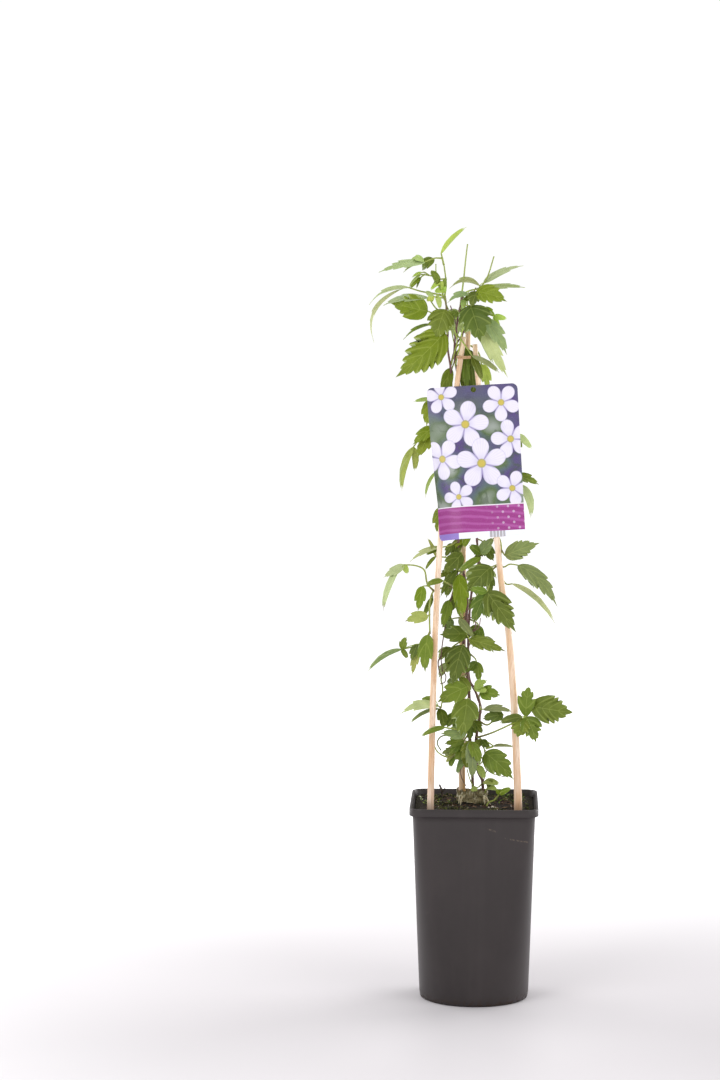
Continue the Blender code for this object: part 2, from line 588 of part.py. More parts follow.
def makeTie(colour):
    rods = []
    for name in ("cane_left", "cane_right", "cane_rear"):
        centre = caneAt(name, tieHeight)
        rods.append((centre.x, centre.y, caneRadii[name][1] + gap + 0.3))
    bm = bmesh.new()
    addLoop(bm, rods, tieHeight, *tieBand)
    addObject("cane_tie", bm, colour)


def cardPoint(across, up, depth):
    # curls the lower left of the card forward, leans it on the canes and turns it
    rise = min(max(cardCurlTop - up / cardSize[1], 0), 1)
    curve = cardCurl * rise
    forward = 0.0
    if across < cardCurlFrom and curve > 0:
        reach = cardCurlFrom - across
        forward = (1 - math.cos(curve * reach)) / curve
        turned = curve * reach
        across = cardCurlFrom - math.sin(turned) / curve - depth * math.sin(turned)
        forward -= depth * (math.cos(turned) - 1)
    turn = math.radians(cardTurn)
    x = cardMiddle[0] + across * math.cos(turn) - up * math.sin(turn)
    z = cardMiddle[1] + across * math.sin(turn) + up * math.cos(turn)
    back = cardBack[1] + (z - cardBack[0]) * cardLean
    return Vector((x, back - depth - forward, z))


def makeCard(colour):
    width, height, thickness = cardSize
    bm = bmesh.new()
    outline = []
    for sx, sy, start in ((1, 1, 0), (-1, 1, 90), (-1, -1, 180), (1, -1, 270)):
        for i in range(4):
            angle = math.radians(start + 30 * i)
            outline.append((sx * (width / 2 - cardCorner) + cardCorner * math.cos(angle),
                            sy * (height / 2 - cardCorner) + cardCorner * math.sin(angle)))
    front = [bm.verts.new((x, y, thickness)) for x, y in outline]
    back = [bm.verts.new((x, y, 0)) for x, y in outline]
    skinRings(bm, [back, front])
    bm.faces.new(front)
    bm.faces.new(back)
    card = addObject("card", bm, colour)
    bm = bmesh.new()
    cx, cy, radius = cardHole
    ends = []
    for z in (-3, 3):
        ends.append([bm.verts.new((cx + radius * math.cos(2 * math.pi * i / 12),
                                   cy + radius * math.sin(2 * math.pi * i / 12), z)) for i in range(12)])
    skinRings(bm, ends)
    bm.faces.new(ends[0])
    bm.faces.new(ends[1])
    combine(card, [addObject("punch", bm)], "DIFFERENCE")
    bm = bmesh.new()
    bm.from_mesh(card.data)
    cuts = [((x, 0, 0), (1, 0, 0)) for x in (-5, -14, -23, -32, -41)]
    cuts += [((0, y, 0), (0, 1, 0)) for y in (50, 20, -10, -40)]
    for place, normal in cuts:
        geom = bm.verts[:] + bm.edges[:] + bm.faces[:]
        bmesh.ops.bisect_plane(bm, geom=geom, plane_co=place, plane_no=normal)
    bmesh.ops.triangulate(bm, faces=bm.faces)
    for vert in bm.verts:
        vert.co = cardPoint(*vert.co) * mm
    bmesh.ops.recalc_face_normals(bm, faces=bm.faces)
    bm.to_mesh(card.data)
    bm.free()


def makeBand(colour):
    cane = caneAt("cane_rear", soilLevel)
    bm = bmesh.new()
    addLoop(bm, [bandStems, (cane.x, cane.y, caneRadii["cane_rear"][0] + gap)], soilLevel + soilBump + gap, *bandSize)
    addObject("base_band", bm, colour)


def makeTwig(colour):
    bm = bmesh.new()
    addTube(bm, twigPath, (twigRadius, 0.9), 6)
    addObject("dead_twig", bm, colour)


def bladeFrame(base, tip, roll):
    # along the leaf, up out of its face, and across; a roll of 0 faces the front
    along = (tip - base).normalized()
    front = Vector((0, -1, 0))
    face = (front - along * front.dot(along)).normalized()
    rise = along.cross(face)
    if rise.z < 0:
        rise = -rise
    turn = math.radians(roll)
    face = (face * math.cos(turn) + rise * math.sin(turn)).normalized()
    return along, face, face.cross(along)


def spread(share, form):
    # half width along the leaf, 1 at its widest; a larger second number draws out the tip
    rise, fall = form
    peak = rise / (rise + fall)
    return (share / peak) ** rise * ((1 - share) / (1 - peak)) ** fall


def sideProfile(teeth, form):
    # shares along the leaf and across it; each tooth points forward
    if teeth == 0:
        return [(s, spread(s, form)) for s in (0.18, 0.58)]
    rows = [(0.17, spread(0.17, form))]
    for k in range(teeth):
        point = firstTooth + toothRun * k / max(teeth - 1, 1)
        notch = point + toothNotch
        rows.append((point, spread(point, form) * toothReach[0]))
        rows.append((notch, spread(notch, form) * toothReach[1]))
    return rows


def bladePoint(spec, base, frame, share, across):
    along, face, side = frame
    tip = Vector(spec["tip"])
    length = (tip - base).length
    half = spec["width"] / 2 * across
    lift = spec["bow"] * length * 4 * share * (1 - share) + abs(half) * bladeFold
    return base + (tip - base) * share + face * lift + side * half


def addBlade(bm, spec, base):
    frame = bladeFrame(base, Vector(spec["tip"]), spec["roll"])
    face = frame[1]
    ribs = (0.36,) if spec["teeth"] < 2 else (0.3, 0.64)
    middle = [(s, 0.0) for s in (0.0, *ribs, 1.0)]
    profile = [(0.0, neckWidth / spec["width"])] + sideProfile(spec["teeth"], spec["form"]) + [(1.0, 0.0)]
    sheets = []
    for sign in (1, -1):
        sheets.append([(s, w * sign) for s, w in profile])
    made = {}

    def corner(share, across, level):
        key = (share, across, level)
        if key not in made:
            point = bladePoint(spec, base, frame, share, across) - face * bladeThickness * (level - 0.5)
            made[key] = bm.verts.new(point * mm)
        return made[key]

    for edge in sheets:
        for level in (0, 1):
            i = j = 0
            while i < len(edge) - 1 or j < len(middle) - 1:
                step = i < len(edge) - 1 and (j == len(middle) - 1 or edge[i + 1][0] <= middle[j + 1][0])
                if step:
                    trio = (middle[j], edge[i + 1], edge[i])
                    i += 1
                else:
                    trio = (middle[j], middle[j + 1], edge[i])
                    j += 1
                if len(set(trio)) == 3:
                    bm.faces.new([corner(s, w, level) for s, w in trio])
        for a, b in zip(middle[:1] + edge, edge):
            bm.faces.new((corner(*a, 0), corner(*b, 0), corner(*b, 1)))
            bm.faces.new((corner(*a, 0), corner(*b, 1), corner(*a, 1)))


def pieceObject(fill):
    bm = bmesh.new()
    fill(bm)
    return addObject("piece", bm)


def past(path):
    # runs a stalk on into the blades that it carries
    end = Vector(path[-1])
    ahead = (end - Vector(path[-2])).normalized()
    return [*path[:-1], end + ahead * stalkPast]


def stalkPieces(stalk, blades):
    pieces = [pieceObject(lambda bm: addTube(bm, past(stalk), (stalkRadius, stalkRadius * 0.85), stalkSides))]
    end = Vector(stalk[-1])
    for spec in blades:
        if spec["base"]:
            run = past([end, Vector(spec["base"])])
            pieces.append(pieceObject(lambda bm: addTube(bm, run, (stalkRadius * 0.7, stalkRadius * 0.8), 4)))
        base = Vector(spec["base"] or end)
        pieces.append(pieceObject(lambda bm: addBlade(bm, spec, base)))
    return pieces


def makeVine(name, colour):
    stem = stems[name]
    bm = bmesh.new()
    addTube(bm, stem["path"], stem["radius"], stemSides)
    whole = addObject(name, bm, colour)
    pieces = []
    for vine, path, radius in shoots:
        if vine == name:
            pieces.append(pieceObject(lambda bm: addTube(bm, path, radius, 5)))
    for vine, stalk, blades in leaves:
        if vine == name:
            pieces += stalkPieces(stalk, blades)
    combine(whole, pieces, "UNION", vineSolver)
    keepLargest(whole)


def layOut():
    for path in canePaths.values():
        path[:] = [seen(p) for p in path]
    for stem in stems.values():
        stem["path"] = [seen(p) for p in stem["path"]]
    twigPath[:] = [seen(p) for p in twigPath]
    layTopLeft()
    layTopRight()
    layBesideCard()
    layMiddleRight()
    layMiddleLeft()
    layLowerLeft()
    layLowerRight()
    layBehind()


def main():
    for thing in list(bpy.data.objects):
        bpy.data.objects.remove(thing)
    layOut()
    makePot(material("pot black", (0.045, 0.04, 0.04), 0.6))
    makeSoil(material("soil", (0.02, 0.014, 0.009), 0.95))
    makeCanes(material("cane", (0.72, 0.5, 0.34), 0.55))
    makeTie(material("tie", (0.25, 0.15, 0.08), 0.7))
    makeCard(material("card", (0.8, 0.75, 0.85), 0.35))
    makeBand(material("band", (0.2, 0.17, 0.1), 0.4, 0.6))
    makeTwig(material("twig", (0.05, 0.04, 0.03), 0.8))
    green = material("leaf", (0.12, 0.25, 0.03), 0.5)
    for name in stems:
        makeVine(name, green)


main()
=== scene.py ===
import random
from math import asin, atan2, copysign, cos, exp, hypot, pi, radians, sin

import bmesh
import bpy
from mathutils import Matrix, Vector, noise


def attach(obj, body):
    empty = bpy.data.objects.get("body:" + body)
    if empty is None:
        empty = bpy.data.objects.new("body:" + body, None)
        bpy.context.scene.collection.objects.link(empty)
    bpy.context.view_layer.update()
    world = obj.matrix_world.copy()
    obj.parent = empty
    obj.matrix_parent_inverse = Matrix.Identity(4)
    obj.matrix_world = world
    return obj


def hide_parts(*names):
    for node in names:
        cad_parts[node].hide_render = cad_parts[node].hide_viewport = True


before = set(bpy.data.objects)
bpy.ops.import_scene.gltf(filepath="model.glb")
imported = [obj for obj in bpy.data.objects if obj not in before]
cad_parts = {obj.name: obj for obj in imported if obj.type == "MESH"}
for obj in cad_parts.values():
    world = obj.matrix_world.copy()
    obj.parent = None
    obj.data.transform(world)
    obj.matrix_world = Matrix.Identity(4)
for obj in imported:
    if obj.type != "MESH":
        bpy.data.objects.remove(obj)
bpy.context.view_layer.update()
mm = 0.001


def paint(red, green, blue):
    # screen colour, 0 to 255, as the linear colour that shaders use
    parts = [c / 255 for c in (red, green, blue)]
    return tuple(p / 12.92 if p <= 0.04045 else ((p + 0.055) / 1.055) ** 2.4 for p in parts) + (1.0,)


# shaders


class Wire:
    # one socket of a shader tree: sums and products of wires add Math nodes
    def __init__(self, tree, socket):
        self.tree = tree
        self.socket = socket

    def maths(self, operation, a, b=None, clamp=False):
        made = self.tree.nodes.new("ShaderNodeMath")
        made.operation = operation
        made.use_clamp = clamp
        for place, value in enumerate((a, b)):
            if isinstance(value, Wire):
                self.tree.links.new(value.socket, made.inputs[place])
            elif value is not None:
                made.inputs[place].default_value = value
        return Wire(self.tree, made.outputs[0])

    def __add__(self, other): return self.maths("ADD", self, other)
    def __radd__(self, other): return self.maths("ADD", other, self)
    def __sub__(self, other): return self.maths("SUBTRACT", self, other)
    def __rsub__(self, other): return self.maths("SUBTRACT", other, self)
    def __mul__(self, other): return self.maths("MULTIPLY", self, other)
    def __rmul__(self, other): return self.maths("MULTIPLY", other, self)
    def __pow__(self, other): return self.maths("POWER", self, other)
    def __abs__(self): return self.maths("ABSOLUTE", self)

    def fraction(self): return self.maths("FRACT", self)
    def wave(self): return self.maths("SINE", self)
    def root(self): return self.maths("SQRT", self)
    def highest(self, other): return self.maths("MAXIMUM", self, other)
    def lowest(self, other): return self.maths("MINIMUM", self, other)

    def rise(self, low, high):
        # 0 at low, 1 at high, eased between
        share = self.maths("DIVIDE", self - low, high - low, clamp=True)
        return share * share * (3 - 2 * share)


class Finish:
    # a material: constants on the shader's own sockets, and one method for every other node
    def __init__(self, name, gloss, more=None):
        self.material = bpy.data.materials.new(name)
        self.material.use_nodes = True
        self.tree = self.material.node_tree
        self.shader = self.tree.nodes["Principled BSDF"]
        for socket, value in {"Specular IOR Level": gloss, **(more or {})}.items():
            self.shader.inputs[socket].default_value = value

    def node(self, kind, settings=None, inputs=None, output=0):
        made = self.tree.nodes.new("ShaderNode" + kind)
        for name, value in (settings or {}).items():
            if name == "stops":
                while len(made.color_ramp.elements) < len(value):
                    made.color_ramp.elements.new(0.5)
                for element, (place, colour) in zip(made.color_ramp.elements, value):
                    element.position = place
                    element.color = colour
            else:
                setattr(made, name, value)
        for name, value in (inputs or {}).items():
            if isinstance(value, Wire):
                self.tree.links.new(value.socket, made.inputs[name])
            else:
                made.inputs[name].default_value = value
        return Wire(self.tree, made.outputs[output])

    def place(self, stretch=(1, 1, 1)):
        # the piece's own coordinates, in metres
        own = self.node("TexCoord", output="Object")
        return self.node("Mapping", inputs={"Vector": own, "Scale": stretch})

    def axis(self, letter):
        own = self.node("TexCoord", output="Object")
        return self.node("SeparateXYZ", inputs={0: own}, output=letter)

    def noise(self, scale, detail=4.0, rough=0.55, where=None, twist=0.0):
        return self.node("TexNoise", inputs={"Vector": where or self.place(), "Scale": scale, "Detail": detail,
                                             "Roughness": rough, "Distortion": twist})

    def cells(self, scale, feature="F1", where=None):
        return self.node("TexVoronoi", {"feature": feature}, {"Vector": where or self.place(), "Scale": scale})

    def value(self, name):
        return self.node("Attribute", {"attribute_name": name}, output="Fac")

    def colour(self, name):
        return self.node("Attribute", {"attribute_name": name}, output="Color")

    def mix(self, factor, a, b, blend="MIX"):
        return self.node("Mix", {"data_type": "RGBA", "blend_type": blend}, {0: factor, 6: a, 7: b}, 2)

    def ramp(self, value, *stops):
        return self.node("ValToRGB", {"stops": stops}, {0: value})

    def feed(self, colour, roughness=None, bump=None, coat=None, alpha=None, glow=None):
        # bump holds a height, its strength and its reach in metres
        normal = bump and self.node("Bump", None, dict(zip(("Height", "Strength", "Distance"), bump)))
        for name, wire in (("Base Color", colour), ("Roughness", roughness), ("Normal", normal),
                           ("Coat Weight", coat), ("Alpha", alpha), ("Emission Color", glow)):
            if wire:
                self.tree.links.new(wire.socket, self.shader.inputs[name])
        return self.material


# meshes


class Heap:
    # points, faces and the named values of each point, which end up as one mesh
    def __init__(self, *names):
        self.points = []
        self.faces = []
        self.smooth = []
        self.values = {name: [] for name in names}

    def add(self, point, **values):
        self.points.append(tuple(c * mm for c in point))
        for name, column in self.values.items():
            column.append(values.get(name, 0.0))
        return len(self.points) - 1

    def face(self, corners, smooth=True):
        self.faces.append(corners)
        self.smooth.append(smooth)

    def bands(self, rings, flip=False, smooth=True):
        # four-sided faces between closed rings
        for low, high in zip(rings, rings[1:]):
            for i in range(len(low)):
                j = (i + 1) % len(low)
                corners = (low[i], low[j], high[j], high[i])
                self.face(corners[::-1] if flip else corners, smooth)

    def drum(self, rings, smooth=True, smoothEnds=True):
        # stacked rings, closed at both ends
        self.bands(rings, smooth=smooth)
        self.face(rings[0][::-1], smoothEnds)
        self.face(rings[-1], smoothEnds)

    def mesh(self, name):
        mesh = bpy.data.meshes.new(name)
        mesh.from_pydata(self.points, [], self.faces)
        return mesh

    def piece(self, name, slotName, finish, *nodes):
        mesh = self.mesh(name)
        mesh.polygons.foreach_set("use_smooth", self.smooth)
        for key, column in self.values.items():
            if column and isinstance(column[0], tuple):
                layer = mesh.attributes.new(key, "FLOAT_COLOR", "POINT")
                layer.data.foreach_set("color", [c for value in column for c in value])
            else:
                layer = mesh.attributes.new(key, "FLOAT", "POINT")
                layer.data.foreach_set("value", column)
        mesh.materials.append(finish)
        mesh.update()
        settle(addObject(name, mesh), slotName, *nodes)


def spoke(angle):
    return Vector((cos(angle), sin(angle), 0))


def upBy(height):
    return Vector((0, 0, height))


def addObject(name, data):
    thing = bpy.data.objects.new(name, data)
    bpy.context.scene.collection.objects.link(thing)
    return thing


def settle(thing, slotName, *nodes):
    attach(thing, "root")
    if nodes:
        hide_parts(*nodes)


def smoothRun(points, each=5):
    # a curve through all the points
    points = [Vector(p) for p in points]
    if len(points) < 3:
        return points
    padded = [points[0] * 2 - points[1], *points, points[-1] * 2 - points[-2]]
    run = []
    for a, b, c, d in zip(padded, padded[1:], padded[2:], padded[3:]):
        for k in range(each):
            t = k / each
            run.append(0.5 * (2 * b + (c - a) * t + (2 * a - 5 * b + 4 * c - d) * t * t
                              + (3 * b - a - 3 * c + d) * t ** 3))
    return [*run, points[-1]]


def growTube(heap, run, radiusAt, sides, valuesAt=None, flatEnds=False):
    # radiusAt and valuesAt take the share of the way along
    last = len(run) - 1
    side = (run[1] - run[0]).normalized().orthogonal().normalized()
    rings = []
    for k, point in enumerate(run):
        ahead = (run[min(k + 1, last)] - run[max(k - 1, 0)]).normalized()
        side = (side - ahead * side.dot(ahead)).normalized()
        over = ahead.cross(side)
        values = valuesAt(k / last) if valuesAt else {}
        ring = []
        for i in range(sides):
            turn = 2 * pi * i / sides
            spot = point + (side * cos(turn) + over * sin(turn)) * radiusAt(k / last)
            ring.append(heap.add(spot, **values))
        rings.append(ring)
    heap.drum(rings, smoothEnds=not flatEnds)


# layout in millimetres, as it shows from the front on the plane through the pot's middle

eye = (24.0, 770.0, 3260.0)


def seen(point):
    x, y, z = point
    share = 1 + y / eye[2]
    return Vector((eye[0] + (x - eye[0]) * share, y, eye[1] + (z - eye[1]) * share))


def seenRun(points, each):
    return smoothRun([seen(p) for p in points], each)


canePaths = {
    "cane_left": [(-47.6, -43, 120), (-47, -40, 205), (-46, -36, 260), (-44.6, -32, 320), (-42, -26, 400),
                  (-37.3, -19, 490), (-30, -13, 570), (-20, -6.5, 657), (-12.5, -2.5, 709)],
    "cane_right": [(47.5, -43, 120), (47, -40, 205), (45.5, -36.5, 250), (42, -31, 320), (35.5, -25.5, 400),
                   (29, -22, 440), (23.5, -18.5, 490), (14, -12.5, 570), (3, -5.5, 660), (-1, -1.5, 701)],
    "cane_rear": [(-13, 24, 120), (-13, 22, 205), (-13.5, 21, 260), (-13, 17.5, 380), (-13, 15, 480),
                  (-12, 12.5, 560), (-10, 9, 650), (-8, 6, 717)],
}

stems = {
    "vine_left": {
        "radius": (1.7, 1.0),
        "path": [(-1, 14, 172), (-1, 14, 205), (-2, 13, 236), (-4, 12, 262), (-6, 10, 300), (-6, 8, 330),
                 (-9, 8, 355), (-12, 8, 385), (-9, 8, 410), (-8.5, 8, 438), (-12, 7, 456), (-17.5, 6, 470),
                 (-18, 6, 492), (-22, 4, 530), (-26, 3, 580), (-25.5, 3, 630), (-26, 3, 670), (-29.5, 3, 695),
                 (-30, 2, 715), (-31, 1, 738), (-33, 0, 752)],
    },
    "vine_right": {
        "radius": (1.5, 1.0),
        "path": [(8, 14, 172), (8, 14, 205), (9, 13, 231), (4, 16, 243), (1.5, 18, 262), (2, 16, 280),
                 (5, 13, 300), (6, 12, 315), (0, 13, 332), (-6, 14, 345), (-7, 14, 376), (-6, 13, 410),
                 (-3, 10, 440), (4, 4, 470), (2, 0, 492), (0, -2, 530), (-6, -1, 570), (-12, 0, 610),
                 (-17, 1.5, 655), (-22.5, 1, 690), (-21, -2, 715), (-17, -3, 738), (-15, -4, 754)],
    },
    "sprout": {
        "radius": (0.9, 0.7),
        "path": [(13, -6, 190), (14, -6, 208), (21.5, -6, 212.5), (27, -7, 219)],
    },
}

# side shoots: path, and the radius at both ends
shootRows = {"vine_left": [
    ([(-33, 0, 752), (-31.5, 0, 765), (-34, -1, 785), (-37, -2, 798)], (0.9, 0.7)),
    ([(-33, 0, 748), (-38, -3, 762), (-42, -4, 775), (-42.5, -4, 786)], (0.8, 0.6)),
    ([(-8.5, 8, 438), (-22, 0, 442), (-35, -10, 441), (-44, -15, 438), (-48, -20, 427), (-48.5, -26, 408),
     (-48, -28, 392)], (1.1, 0.9)),
    ([(-9, 8, 355), (-26, 0, 356), (-34, -4, 350), (-36, -5, 343), (-34.5, -5, 335), (-34.5, -4, 322),
     (-36, -4, 312)], (0.9, 0.8)),
    ([(-14, -2, 268), (-24, -5, 259), (-33, -7, 260), (-40, -8, 265), (-43, -8, 271)], (0.9, 0.7)),
], "vine_right": [
    ([(-15, -4, 754), (-13, -4, 770), (-11, -4, 790), (-9, -4, 807)], (0.9, 0.7)),
    ([(-15, -4, 754), (-6, -3, 758), (4, -1, 761), (12, 0, 772), (19, 1, 794)], (0.9, 0.7)),
    ([(1, -1, 512), (13, -6, 506), (24, -10, 498), (28, -12, 484), (25, -13, 466)], (1.0, 0.9)),
    ([(8.7, 4.5, 257), (12, 0, 247), (20, -4, 241), (27, -5, 240), (28, -6, 243)], (0.6, 0.5)),
], "sprout": []}

